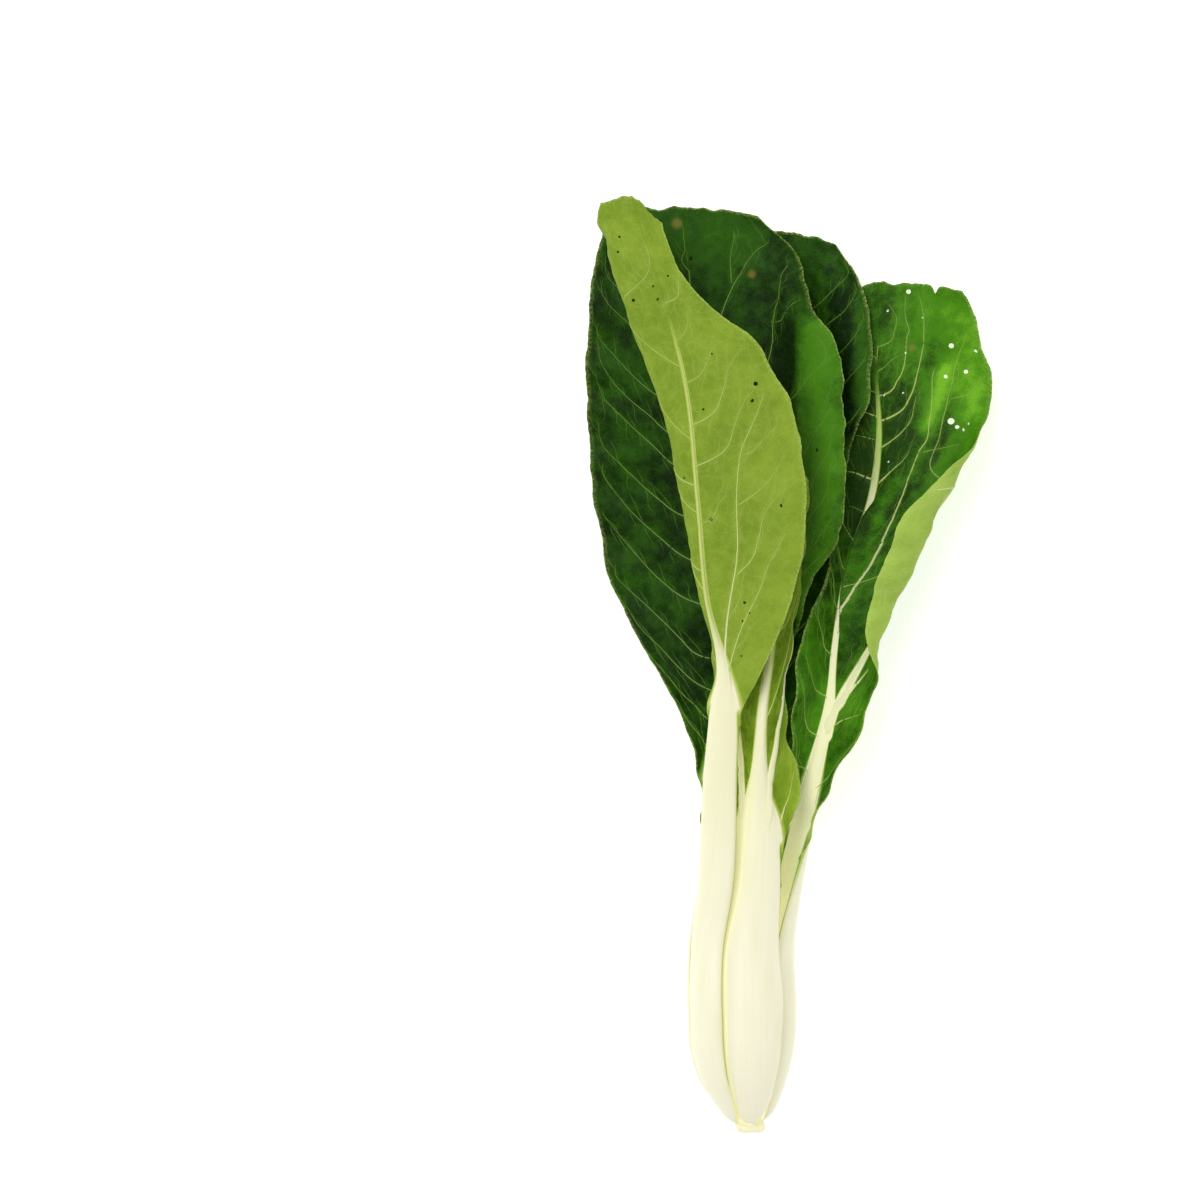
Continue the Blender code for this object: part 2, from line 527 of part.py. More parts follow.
def main():
    """Build the head."""
    clear_scene()
    finish(build_crown(), material("crown_flesh", COLOURS["crown"], 0.5))
    stalk_surface = material("white_stalk", COLOURS["stalk"], 0.4)
    for prefix, leaves, detail in (("", LEAVES, OUTER), ("heart_", HEARTS, HEART)):
        for name, leaf in leaves.items():
            shape = leaf_shape(leaf, detail)
            finish(build_stalk(f"{prefix}stalk_{name}", shape), stalk_surface)
            surface = material(f"{prefix}blade_{name}", COLOURS[leaf["colour"]], 0.45)
            finish(build_blade(f"{prefix}blade_{name}", shape), surface)


main()
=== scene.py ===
import math

import bpy
import numpy as np
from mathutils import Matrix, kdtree


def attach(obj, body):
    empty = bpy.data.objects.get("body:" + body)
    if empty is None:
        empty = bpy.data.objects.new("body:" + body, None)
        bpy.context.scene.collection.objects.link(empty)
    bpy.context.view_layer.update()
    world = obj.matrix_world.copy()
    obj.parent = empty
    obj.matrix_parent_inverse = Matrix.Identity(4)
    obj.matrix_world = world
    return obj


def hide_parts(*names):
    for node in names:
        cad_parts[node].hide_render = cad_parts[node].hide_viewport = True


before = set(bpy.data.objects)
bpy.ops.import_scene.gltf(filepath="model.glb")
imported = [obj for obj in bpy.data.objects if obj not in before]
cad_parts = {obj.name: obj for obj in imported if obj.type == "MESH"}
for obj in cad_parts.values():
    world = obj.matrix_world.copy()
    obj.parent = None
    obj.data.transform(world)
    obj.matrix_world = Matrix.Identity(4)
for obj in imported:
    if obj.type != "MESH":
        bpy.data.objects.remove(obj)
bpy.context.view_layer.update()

MM = 0.001
ORIGIN = (-4.8, 45.0)          # x and y of the flat spot that the head rests on, in the script's millimetres
WHORL_X = -4.3
WHORL_Z = 17.7
LEAN = 1.9                     # how far the lowest part of the stalks lies to +X of the whorl
WHORL = ((7, 7.4), (10, 8.9), (17, 12.2), (27, 14.9), (38, 15.6), (60, 15.3))   # (y, radius to mid stalk)
IMBRICATE = 13                 # turn of each stalk, so that one edge lies over its neighbour
EDGE = 0.22                    # thickness of a stalk's edge as a share of its middle
TURNS = (0.0, 0.25, 0.5, 0.75, 1.0)   # shares of the reach at which a row's directions are given
CURVE_STEPS = 48               # steps along a row from the midrib to the edge
ROW_BOW = 1.5                  # power with which a row rises towards its edge

# Fine mesh
PETIOLE_STEP = 2.2             # mm between rows below the blade
JOIN = 14.0                    # mm over which the blade starts beside the stalk
SHEET = 0.22                   # half-thickness of a blade
GATHER = 1.25                  # above 1 the columns of a blade lie closer together near the midrib
TAIL = (4.5, 5.7)              # (y, radius) at which a stalk ends on the cut stem
OUTER = {"stalk_columns": 8, "wing_columns": (50, 50), "step": 0.8}
HEART = {"stalk_columns": 5, "wing_columns": (12, 12), "step": 1.4}
WINGS = {"2": (22, 22)}
COLUMN_BOW = 0.85              # below 1 the columns of a stalk lie closer together near its edge
RIM_SHARE = 0.988              # place of the last column before the edge
OPEN_WING = 0.02               # a wing narrower than this has no width
# Share by which each midrib is slimmer than in the solid model, and the heights at which its white flesh
# starts and ends turning green
SLIM = {"1": 0.68, "2": 0.3, "3": 0.0, "4": 0.6, "5": 0.6}
PALE = {"1": (140, 175), "2": (126, 165), "3": (185, 228), "4": (125, 160), "5": (125, 160)}
# Where one half of a blade bulges over the midrib: (y, y, y, y) of its rise and fall, sideways, up, reach
BULGE = {"3": ((150, 178, 197, 206), 3.8, 2.6, 5.5)}
# White flesh that spreads into the blade: half-width, narrowing per mm above a height, and the heights at
# which it starts to end and has ended beside the midrib
FAN = {"2": (8.2, 0.16, 90.0, 109.0, 114.0)}
FAN_HIDES = (8.4, 7.0, 112)    # half-width and height of the white flesh that thin veins don't cross
# Painted light on a turned-up edge, which is painted brighter: x at which it starts, y of its lower and upper
# end, amount
FLAP_PAINTED_LIGHT = {"4": ((12.8, 14.2), (150, 160), (258, 264), 0.7)}
# Unevenness as (wavelength in mm, height in mm)
SIDE_EDGE = ((19, 0.5), (8, 0.2), (3.4, 0.13), (1.9, 0.1))
TOP_EDGE = ((15, 0.6), (6, 0.3), (3.2, 0.16), (1.8, 0.12))
OUTER_SHEET = ((11, 0.32), (6, 0.16))
BLISTERS = ((4.5, 1.0),)
BLISTER_RISE = 0.34            # mm by which the sheet between the veins stands out
BLISTER_CHANGE = 0.16
NET_START = 0.9                # mm: thinner veins than this don't cross the white flesh
VEIN_SIDES = 6
SPOT_SIDES = 9

# Leaves. face is 1 where the underside is up and -1 where the inner face is up; angle is the stalk's place
# in the whorl, counted from +X towards +Z. spine is (y, x, z) of the midrib and tilt (y, turn about it, right
# side up). half is (y, half-width of stalk or midrib), thick (y, thickness) and cup (y, angle by which the
# edges of the stalk turn in). rows are (y, left reach, left rise, right reach, right rise): how far the blade
# reaches from the midrib, measured along the sheet, and how much further up its edge lies. left and right are
# (y, directions at TURNS), up is positive. wave is (height, pitch, start) of the waved edge, and end is the
# upper end of the midrib.
LEAVES = {
    "1": {
        "face": 1, "angle": 149,
        "spine": ((82, -14.6, 31.0), (110, -13.0, 35.0), (138, -11.0, 39.0), (150, -11.2, 40.5),
                  (171, -15.8, 42.0), (200, -18.6, 42.6), (242, -23.2, 40.6), (270, -30.6, 37.0),
                  (299, -40.0, 32.0)),
        "tilt": ((82, 55), (110, 40), (138, 27), (155, 18), (180, 12), (220, 8), (299, 5)),
        "half": ((7, 4.6), (17, 9.0), (30, 11.0), (45, 11.2), (82, 9.0), (110, 7.2), (135, 5.2),
                 (150, 2.4), (170, 1.5), (230, 1.0), (270, 0.6)),
        "thick": ((7, 2.6), (17, 4.6), (35, 5.8), (60, 5.4), (100, 4.2), (140, 3.0), (170, 2.2),
                  (270, 1.1)),
        "cup": ((7, 35), (20, 50), (60, 50), (110, 40), (135, 30)),
        "rows": ((135, 5.8, 0, 6.2, 0), (150, 9, 3, 15.4, 5), (160, 14, 6, 24, 12),
                 (171, 18, 9, 30.5, 16), (185, 21, 10, 33, 18), (200, 23, 10, 33, 18),
                 (215, 24, 9, 31.5, 16), (230, 25, 8, 27, 13), (244, 28, 6, 22, 10),
                 (256, 29, 4, 15.5, 5), (268, 28, 2, 10.5, 1), (280, 25, 0, 8.0, -2),
                 (290, 16.5, -1, 8.4, -4), (299, 9.5, -1.6, 10.0, -8)),
        "left": ((150, -25, -45, -60, -70, -75), (171, -26, -60, -110, -140, -150),
                 (200, -14, -46, -120, -165, -175), (242, -4, -12, -70, -160, -180),
                 (270, 0, -6, -50, -150, -178), (299, 0, -2, -6, -14, -30)),
        "right": ((150, -8, -14, -18, -20, -22), (180, -2, -8, -14, -18, -22),
                  (220, 0, -6, -12, -18, -26), (256, 0, -4, -8, -10, -12), (299, 0, -4, -8, -10, -14)),
        "wave": (0.9, 27, 0.3), "end": 262,
    },
    "2": {
        "face": 1, "angle": 82,
        "spine": ((82, -0.4, 32.6), (110, 0.6, 32.6), (139, 2.2, 33.4), (152, 4.0, 33.6),
                  (185, 6.5, 33.0), (216, 6.5, 30.5)),
        "tilt": ((82, 8), (110, 2), (150, 0), (216, -4)),
        "half": ((7, 4.2), (14, 7.6), (27, 11.0), (42, 12.0), (62, 10.0), (85, 8.4), (100, 7.0),
                 (110, 4.2), (124, 2.5), (139, 1.9), (170, 1.3), (200, 0.8)),
        "thick": ((7, 2.6), (17, 4.8), (35, 6.0), (60, 5.4), (95, 4.2), (125, 3.2), (150, 2.2), (200, 1.1)),
        "cup": ((7, 35), (20, 50), (60, 48), (95, 38), (110, 30)),
        "rows": ((92, 8.3, 0, 8.6, 0), (100, 9.5, 2, 12.5, 3), (108, 11, 5, 16.0, 5),
                 (118, 13, 8, 12.2, 8), (128, 15, 10, 11.8, 10), (142, 15, 12, 13.0, 12),
                 (160, 14, 12, 13, 12), (180, 12.5, 10, 12.5, 9), (196, 12, 6, 12, 5),
                 (208, 12, 1, 12, 1), (216, 9, -4, 9, -4)),
        "left": ((110, -14, -26, -34, -36, -34), (140, -12, -22, -28, -30, -30),
                 (216, -10, -18, -22, -24, -26)),
        "right": ((104, -8, -20, -28, -32, -30), (116, -10, -26, -40, -48, -50),
                  (132, -14, -34, -50, -62, -66), (160, -14, -34, -48, -58, -60),
                  (216, -10, -18, -24, -28, -30)),
        "wave": (0.7, 25, 1.4), "end": 196,
    },
    "3": {
        "face": -1, "angle": -16,
        "spine": ((82, 13.2, 14.0), (100, 16.0, 15.2), (118, 19.8, 16.8), (137, 23.9, 17.6),
                  (155, 25.6, 16.6), (185, 31.2, 13.4), (204, 37.8, 11.0), (222, 40.3, 9.6),
                  (247, 39.6, 8.8), (274, 41.0, 8.6)),
        "tilt": ((82, 72), (100, 52), (114, 36), (126, 22), (138, 12), (160, 6), (200, 4), (274, 0)),
        "half": ((7, 4.4), (17, 9.0), (30, 11.0), (45, 11.4), (82, 8.2), (100, 5.0), (112, 3.1),
                 (125, 2.3), (137, 1.6), (148, 0.95), (165, 0.85), (205, 0.95), (220, 0.75), (235, 0.45),
                 (250, 0.2)),
        "thick": ((7, 2.6), (17, 4.6), (35, 5.8), (60, 5.2), (100, 4.0), (137, 3.0), (160, 2.2),
                  (250, 1.1)),
        "cup": ((7, 35), (20, 50), (60, 48), (95, 38), (115, 26)),
        "rows": ((101, 7.6, 0, 8.2, 0), (112, 8.5, 3, 11, 4), (122, 12, 5, 15.5, 7),
                 (132, 16, 6, 18.0, 9), (142, 16, 7, 24, 11), (152, 13, 8, 27.5, 12),
                 (162, 7.2, 8, 32.5, 12), (172, 5.2, 7, 38.5, 12), (182, 5.6, 6, 42, 12),
                 (192, 7.5, 7, 41, 11), (206, 9.2, 6, 38, 9), (220, 12.4, 5, 36, 8),
                 (238, 15.5, 4, 36.5, 7), (252, 14, 2, 34, 2), (263, 12, -1, 31, 0), (274, 9, -3, 27, -3)),
        "left": ((112, 6, 14, 24, 44, 84), (122, 6, 18, 56, 98, 84), (134, 6, 34, 80, 72, 50),
                 (148, 4, 40, 66, 54, 36), (162, 0, 20, 30, 26, 20), (182, -4, 0, 2, 2, 2),
                 (206, -10, -14, -12, -8, -6), (274, -8, -12, -12, -8, -6)),
        "right": ((114, 0, 4, 8, 14, 20), (132, 4, 8, 16, 30, 50), (148, 10, 16, 34, 88, 172),
                  (160, 12, 16, 34, 104, 178), (172, 13, 16, 30, 112, 178), (184, 14, 16, 26, 110, 178),
                  (196, 18, 16, 14, 84, 170), (210, 20, 16, 6, 34, 120), (222, 20, 14, 2, 4, 30),
                  (238, 16, 12, 2, -4, -8), (274, 12, 8, 0, -6, -12)),
        "wave": (0.9, 25, 2.2), "end": 244,
    },
    "4": {
        "face": -1, "angle": 219,
        "spine": ((82, -13.2, 8.8), (110, -11.4, 9.6), (138, -11.2, 10.8), (165, -13.0, 12.0),
                  (200, -15.0, 12.4), (240, -18.2, 12.0), (298, -22.0, 10.6)),
        "tilt": ((82, -36), (110, -18), (138, -6), (165, 0), (298, 0)),
        "half": ((7, 3.8), (17, 7.4), (30, 8.8), (45, 9.0), (82, 7.6), (105, 6.2), (125, 4.2), (145, 2.4),
                 (180, 1.6), (240, 1.0), (275, 0.6)),
        "thick": ((7, 2.6), (17, 4.4), (35, 5.4), (60, 5.0), (100, 4.0), (137, 3.0), (170, 2.2),
                  (275, 1.1)),
        "cup": ((7, 35), (20, 48), (60, 46), (100, 34), (120, 22)),
        "rows": ((108, 6.2, 0, 7.0, 0), (124, 10.0, 4, 11, 4), (138, 18, 7, 17, 7), (150, 26, 9, 25, 9),
                 (160, 31, 10, 29.5, 10), (170, 35, 10, 35, 10), (181, 37, 10, 44, 9),
                 (198, 39, 10, 48.5, 8), (216, 39, 9, 50, 7), (235, 38, 7, 50, 3), (250, 36, 5, 47.5, 3),
                 (265, 34, 2, 40, -1), (280, 31, 0, 38, -8), (290, 28, -1, 36, -9), (298, 25, -1, 23, -3)),
        "left": ((138, -6, -8, -8, -6, -4), (180, -6, -14, -18, -16, -8), (230, -6, -14, -18, -14, -6),
                 (298, -6, -10, -14, -12, -4)),
        "right": ((138, 4, 4, 6, 10, 12), (160, 2, 2, 8, 22, 12), (176, 0, 0, 6, 46, 6),
                  (190, 0, 0, 6, 52, -8), (230, 0, -2, 4, 52, -14), (256, 0, -2, 4, 34, -6),
                  (298, 0, -2, 0, 4, 4)),
        "wave": (0.9, 28, 0.9), "end": 266,
    },
    "5": {
        "face": -1, "angle": 276,
        "spine": ((82, -0.6, 3.2), (110, 1.6, 2.9), (138, 4.0, 2.3), (165, 6.4, 1.7), (200, 8.6, 0.95),
                  (240, 9.6, 0.9), (291, 8.6, 2.2)),
        "tilt": ((82, 14), (110, 8), (138, 3), (165, 0), (291, 0)),
        "half": ((7, 3.8), (17, 8.0), (30, 9.9), (45, 10.2), (82, 8.2), (105, 6.6), (125, 4.4),
                 (145, 2.4), (180, 1.6), (240, 1.0), (270, 0.6)),
        "thick": ((7, 2.6), (17, 4.4), (35, 5.6), (60, 5.0), (100, 4.0), (137, 3.0), (170, 2.2),
                  (270, 1.1)),
        "cup": ((7, 35), (20, 48), (60, 46), (100, 34), (120, 22)),
        "rows": ((108, 7.4, 0, 7.4, 0), (124, 10, 4, 12, 4), (140, 15, 7, 15, 6), (160, 22, 9, 18.5, 8),
                 (180, 28, 10, 21.5, 8), (190, 31, 10, 22, 8), (200, 33, 9, 22, 8), (210, 34, 8, 23.5, 7),
                 (220, 35, 7, 27.3, 7), (232, 35, 6, 32, 6), (245, 34, 4, 32, 5), (256, 32, 3, 31, 3),
                 (270, 29, 0, 28, 0), (282, 25, -2, 24, -3), (291, 19, -4, 18, -5)),
        "left": ((140, 0, 0, 2, 3, 4), (200, 0, 0, 1, 2, 4), (291, 0, 0, 1, 2, 4)),
        "right": ((140, 0, 4, 8, 10, 10), (180, 0, 6, 12, 16, 16), (198, 0, 10, 24, 24, 12),
                  (214, 0, 20, 43, 30, 2), (256, 0, 16, 42, 26, -12), (291, 0, 6, 14, 12, 0)),
        "wave": (0.8, 27, 1.9), "end": 262,
    },
}

# Young leaves inside the whorl, written in the same way. start is (y, radius) of the stalk's lowest part.
HEARTS = {
    "1": {
        "face": 1, "angle": 100, "start": ((24, 3.4), (34, 5.6), (48, 6.6)),
        "spine": ((70, -3.6, 25.6), (100, -1.4, 26.4), (124, 0.4, 25.8), (141, 0.6, 24.0)),
        "tilt": ((70, 12), (141, 0)),
        "half": ((24, 2.6), (40, 5.0), (62, 4.6), (78, 3.2), (95, 1.6), (118, 0.9)),
        "thick": ((24, 1.8), (40, 2.8), (70, 2.4), (95, 1.8), (118, 1.0)),
        "cup": ((24, 30), (45, 48), (68, 40)),
        "rows": ((68, 4.8, 0, 4.8, 0), (84, 8, 4, 7, 4), (100, 9.5, 6, 7.5, 6), (118, 9, 4, 7.5, 4),
                 (132, 7, 0, 6.5, 0), (141, 5, -3, 5, -3)),
        "left": ((84, -14, -28, -40, -50, -54), (141, -12, -26, -38, -46, -50)),
        "right": ((84, -14, -28, -40, -50, -54), (141, -12, -26, -38, -46, -50)),
        "wave": (0.4, 24, 0.5), "end": 116,
    },
    "2": {
        "face": -1, "angle": 222, "start": ((24, 3.4), (34, 5.6), (48, 6.4)),
        "spine": ((70, -8.4, 14.4), (100, -6.8, 15.2), (128, -5.0, 16.4), (148, -4.0, 17.6)),
        "tilt": ((70, -30), (110, -18), (148, -8)),
        "half": ((24, 2.6), (40, 4.8), (62, 4.4), (78, 3.0), (95, 1.6), (122, 0.9)),
        "thick": ((24, 1.8), (40, 2.6), (70, 2.4), (95, 1.8), (122, 1.0)),
        "cup": ((24, 30), (45, 46), (68, 38)),
        "rows": ((68, 4.6, 0, 4.6, 0), (84, 7, 4, 6.4, 4), (102, 8.5, 6, 7.6, 6), (122, 9, 4, 8, 4),
                 (138, 7, 0, 7, 0), (148, 5, -3, 5, -3)),
        "left": ((84, 12, 26, 36, 42, 44), (148, 10, 20, 30, 34, 36)),
        "right": ((84, 12, 24, 32, 38, 40), (148, 10, 20, 28, 32, 34)),
        "wave": (0.4, 26, 1.1), "end": 120,
    },
    "3": {
        "face": -1, "angle": 340, "start": ((24, 3.4), (34, 5.4), (48, 6.2)),
        "spine": ((70, 3.2, 15.8), (96, 5.8, 16.2), (116, 7.4, 16.8), (130, 8.4, 17.4)),
        "tilt": ((70, 66), (130, 50)),
        "half": ((24, 2.4), (40, 4.4), (58, 4.0), (72, 2.8), (86, 1.5), (106, 0.9)),
        "thick": ((24, 1.8), (40, 2.4), (66, 2.2), (86, 1.6), (106, 1.0)),
        "cup": ((24, 30), (45, 44), (62, 36)),
        "rows": ((62, 4.2, 0, 4.2, 0), (78, 5.4, 3, 4.4, 3), (94, 6, 4, 4.4, 4), (110, 5.6, 3, 4.4, 3),
                 (122, 5, 0, 4.5, 0), (130, 4, -2, 3.5, -2)),
        "left": ((78, 14, 26, 34, 40, 42), (130, 10, 22, 30, 34, 36)),
        "right": ((78, 14, 26, 34, 40, 42), (130, 10, 22, 30, 34, 36)),
        "wave": (0.3, 23, 2.0), "end": 104,
    },
}

# Veins traced on the blades: (share of the wing from the midrib's edge to the leaf's edge, y), with the width
# in mm at the start and the end of each. A share below 0 lies in the midrib.
VEINS = {
    ("1", 1): (
        (((-0.4, 138), (0.0, 153.5), (0.29, 177), (0.35, 198), (0.42, 210), (0.51, 216),
          (0.81, 226)), 1.1, 0.34),
        (((0.345, 197.0), (0.49, 197.6), (0.62, 198.3), (0.78, 200.4)), 0.5, 0.22),
        (((0.29, 176), (0.46, 178.7), (0.52, 183), (0.60, 190), (0.73, 192.7), (0.84, 193)), 0.55, 0.22),
        (((-0.1, 146), (0.10, 152), (0.32, 160.5), (0.52, 167.5), (0.64, 174.5), (0.80, 180)), 0.7, 0.26),
        (((-0.3, 212), (0.16, 214.4), (0.33, 216.5), (0.44, 222), (0.62, 227.7), (0.76, 229)), 0.62, 0.24),
        (((-0.3, 225), (0.1, 227), (0.29, 229), (0.41, 233.3), (0.58, 240), (0.84, 243)), 0.6, 0.24),
        (((-0.3, 238.4), (0.12, 240.3), (0.27, 242.4), (0.42, 246), (0.6, 249)), 0.5, 0.22),
        (((-0.3, 196), (0.05, 195.6), (0.12, 196.5), (0.18, 199.7), (0.2, 204)), 0.4, 0.2),
        (((-0.3, 251), (0.2, 255), (0.5, 262)), 0.45, 0.2),
        (((0.44, 212), (0.55, 211), (0.7, 213), (0.86, 215)), 0.4, 0.2),
        (((0.13, 163), (0.3, 168), (0.36, 173)), 0.34, 0.2),
    ),
    ("1", -1): (
        (((0.51, 265.5), (0.23, 271), (0.07, 275.3), (0.0, 281), (0.02, 286)), 0.5, 0.24),
        (((-0.3, 196), (0.12, 200), (0.34, 204), (0.7, 213), (0.9, 220)), 0.5, 0.2),
        (((-0.3, 170), (0.2, 178), (0.6, 190), (0.9, 200)), 0.6, 0.2),
        (((-0.3, 218), (0.2, 225), (0.6, 236), (0.9, 244)), 0.5, 0.2),
        (((-0.3, 240), (0.2, 248), (0.6, 258), (0.9, 264)), 0.5, 0.2),
    ),
    ("2", 1): (
        (((-0.9, 96), (-0.3, 108), (0.05, 114), (0.39, 122.4), (0.8, 134), (0.9, 150)), 4.4, 0.6),
        (((0.12, 99.8), (0.3, 103.0), (0.52, 106.3), (0.9, 112)), 1.0, 0.3),
        (((0.02, 112.5), (0.3, 115), (0.6, 117), (0.9, 118.5)), 0.7, 0.25),
        (((-0.6, 124), (0.2, 138), (0.6, 152), (0.9, 168)), 0.9, 0.3),
        (((-0.6, 150), (0.2, 162), (0.6, 174), (0.9, 186)), 0.8, 0.25),
    ),
    ("2", -1): (
        (((-0.9, 96), (0.0, 105), (0.34, 113), (0.46, 127), (0.54, 143), (0.62, 160),
          (0.7, 174)), 3.4, 0.7),
        (((-0.6, 140), (0.2, 160), (0.6, 178), (0.9, 190)), 0.8, 0.25),
    ),
    ("3", 1): (
        (((-0.9, 160), (-0.1, 164), (0.06, 169), (0.12, 175), (0.17, 181), (0.2, 186),
          (0.22, 189)), 1.45, 1.1),
    ),
    ("4", 1): (
        (((-0.3, 244), (0.1, 254), (0.23, 263.7), (0.34, 272.8), (0.47, 281.2), (0.61, 288.2),
          (0.8, 293)), 0.8, 0.24),
        (((0.335, 273.5), (0.35, 281.9), (0.4, 288.9), (0.45, 293)), 0.45, 0.22),
        (((-0.3, 206), (0.2, 226), (0.38, 239), (0.49, 248.3), (0.6, 258.8), (0.71, 268.6), (0.77, 279.1),
          (0.88, 286.8)), 0.9, 0.24),
        (((0.61, 260), (0.7, 261), (0.8, 266), (0.9, 270)), 0.4, 0.2),
    ),
    ("4", -1): (
        (((-0.3, 268), (0.05, 279.1), (0.03, 284), (0.04, 290)), 0.6, 0.24),
    ),
}
# Veins traced as seen from above, in the same way but with (x, y) of each place in mm
SEEN_VEINS = {
    "3": (
        (((22.6, 128.0), (23.8, 131.6), (25.7, 136.7), (29.0, 141.9), (32.3, 147.7),
          (36.9, 155.8)), 5.0, 2.4),
        (((29.4, 140.5), (33.0, 144.8), (36.3, 149.2)), 1.6, 0.6),
        (((24.6, 130.2), (27.8, 132.5), (31.4, 133.8), (35.5, 135.4)), 0.9, 0.3),
        (((26.6, 135.0), (29.8, 137.9), (33.0, 140.2), (36.2, 142.1)), 0.8, 0.3),
        (((39.6, 187.1), (42.9, 194.1), (46.3, 201.5), (48.8, 208.1), (50.7, 213.2), (52.9, 218.8),
          (55.5, 222.8), (56.2, 228.0), (56.9, 232.4), (57.2, 241.2), (58.0, 245.6)), 1.15, 0.45),
        (((53.2, 218.4), (58.0, 219.5), (66.9, 221.3)), 0.5, 0.22),
        (((54.7, 206.3), (56.9, 212.5), (59.5, 223.6), (62.1, 235.3), (63.9, 242.7), (66.1, 250.8),
          (68.4, 257.6)), 0.8, 0.28),
        (((62.5, 235.7), (69.1, 237.5), (73.5, 241.2)), 0.5, 0.2),
        (((62.5, 235.7), (58.8, 236.4), (55.8, 236.8)), 0.4, 0.2),
        (((39.6, 229.4), (37.1, 231.3), (34.1, 232.8)), 1.0, 0.4),
        (((38.3, 210.3), (33.8, 211.8), (30.1, 212.9)), 1.3, 0.6),
        (((39.0, 222.8), (35.2, 224.0), (31.9, 224.6)), 0.6, 0.3),
        (((37.8, 200.0), (33.0, 200.7), (30.1, 201.5)), 0.5, 0.25),
        (((32.6, 187.5), (29.6, 193.6), (27.1, 198.5)), 0.8, 0.4),
        (((39.5, 208.3), (41.1, 209.6), (44.8, 213.2), (48.1, 216.2), (50.0, 219.1)), 1.1, 0.3),
        (((40.0, 219.2), (41.1, 219.9), (44.8, 222.8), (49.9, 228.0), (51.4, 233.1),
          (52.2, 236.8)), 0.9, 0.3),
        (((40.0, 226.6), (41.5, 227.6), (46.3, 231.3), (50.0, 236.1), (52.2, 242.7), (54.0, 250.8),
          (54.7, 257.4), (54.4, 264.0), (52.9, 269.9)), 1.1, 0.3),
        (((39.8, 235.8), (41.1, 237.2), (46.3, 242.0), (48.5, 247.1), (49.2, 255.2), (50.0, 258.1),
          (48.8, 262.6), (48.8, 269.9)), 0.9, 0.3),
        (((39.4, 243.5), (41.1, 245.6), (44.1, 248.2), (47.7, 250.4)), 0.5, 0.25),
        (((39.0, 249.0), (39.6, 250.0), (42.6, 253.7), (45.2, 257.4), (45.9, 262.6),
          (43.3, 267.0)), 0.6, 0.25),
    ),
}
# Painted light and shade: where a sheet is painted brighter or darker, as (leaf, places (x, y) seen from
# above, radius, amount)
PAINTED_SHADING_PATCHES = (
    ("3", ((61.8, 245.4), (59.5, 237.8), (57.9, 233.0), (55.0, 226.6)), 2.2, 1.0),
    ("3", ((64.6, 235.8), (61.8, 228.3), (58.9, 220.8), (55.0, 213.1), (52.4, 207.7)), 1.8, -0.5),
    ("3", ((57.9, 256.0), (56.0, 245.4)), 3.2, -0.25),
    ("3", ((49.5, 207.7), (43.8, 198.1)), 1.6, -0.6),
    ("3", ((47.6, 213.1), (41.0, 200.0), (36.3, 188.8)), 1.8, 0.35),
    ("3", ((69.0, 258.0), (68.0, 235.2)), 10, 0.65),
    ("2", ((12.0, 122.0), (15.0, 104.0)), 6, 0.9),
    ("3", ((56.0, 267.2),), 10, 0.35),
    ("3", ((34.2, 235.2), (33.0, 196.8)), 5, -0.8),
    ("3", ((48.0, 235.2), (44.8, 216.0)), 5, -0.6),
    ("3", ((33.0, 171.2), (28.8, 148.8)), 3, -0.15),
    ("3", ((36.8, 184.0), (30.4, 171.2)), 1.6, 0.4),
    ("3", ((18.2, 158.4), (20.2, 132.8)), 6, 0.5),
    ("3", ((22.4, 176.0),), 5, -0.5),
    ("3", ((33.6, 136.0),), 5, 0.7),
    ("4", ((20.8, 255.0), (20.6, 215.0), (16.0, 175.0), (12.0, 160.0)), 8, 0.7),
    ("1", ((0.0, 171.0), (-3.0, 152.0)), 9, 0.35),
    ("4", ((9.9, 257.6), (9.9, 164.8)), 3, -0.9),
    ("4", ((-33.6, 299.2), (-4.8, 289.6)), 12, 0.5),
    ("5", ((34.2, 267.2), (34.9, 235.2)), 3.5, 0.6),
    ("5", ((28.2, 267.2), (28.2, 228.8)), 3.5, -0.8),
)
# Holes eaten in the blades: (leaf, side, share of the wing, y, radius in mm)
HOLES = (
    ("1", 1, 0.78, 230.5, 0.8), ("1", 1, 0.68, 226.3, 0.75),
    ("3", 1, 0.70, 251.8, 1.0), ("3", 1, 0.93, 248.3, 0.7), ("3", 1, 0.61, 239.9, 0.75),
    ("3", 1, 0.79, 239.9, 0.75),
    ("3", 1, 0.65, 224.5, 1.1), ("3", 1, 0.71, 221.9, 0.7), ("3", 1, 0.32, 271.0, 0.75),
)
# Small dark bites that don't go through, and pale dots, in the same way
BITES = (
    ("1", -1, 0.38, 286.5, 0.34), ("1", -1, 0.40, 281.6, 0.36), ("1", -1, 0.35, 265.5, 0.50),
    ("1", -1, 0.06, 266.2, 0.34), ("1", -1, 0.07, 270.4, 0.28), ("1", 1, 0.40, 273.9, 0.30),
    ("1", 1, 0.15, 230.5, 0.34), ("1", 1, 0.10, 196.0, 0.46), ("1", 1, 0.45, 246.0, 0.26),
    ("1", 1, 0.37, 167.0, 0.40), ("1", 1, 0.42, 163.5, 0.32), ("1", 1, 0.34, 162.0, 0.32),
    ("1", 1, 0.76, 189.0, 0.42), ("1", 1, 0.30, 152.5, 0.26), ("1", -1, 0.16, 209.0, 0.26),
    ("4", 1, 0.01, 281.2, 0.50), ("4", 1, 0.80, 214.0, 0.50),
)
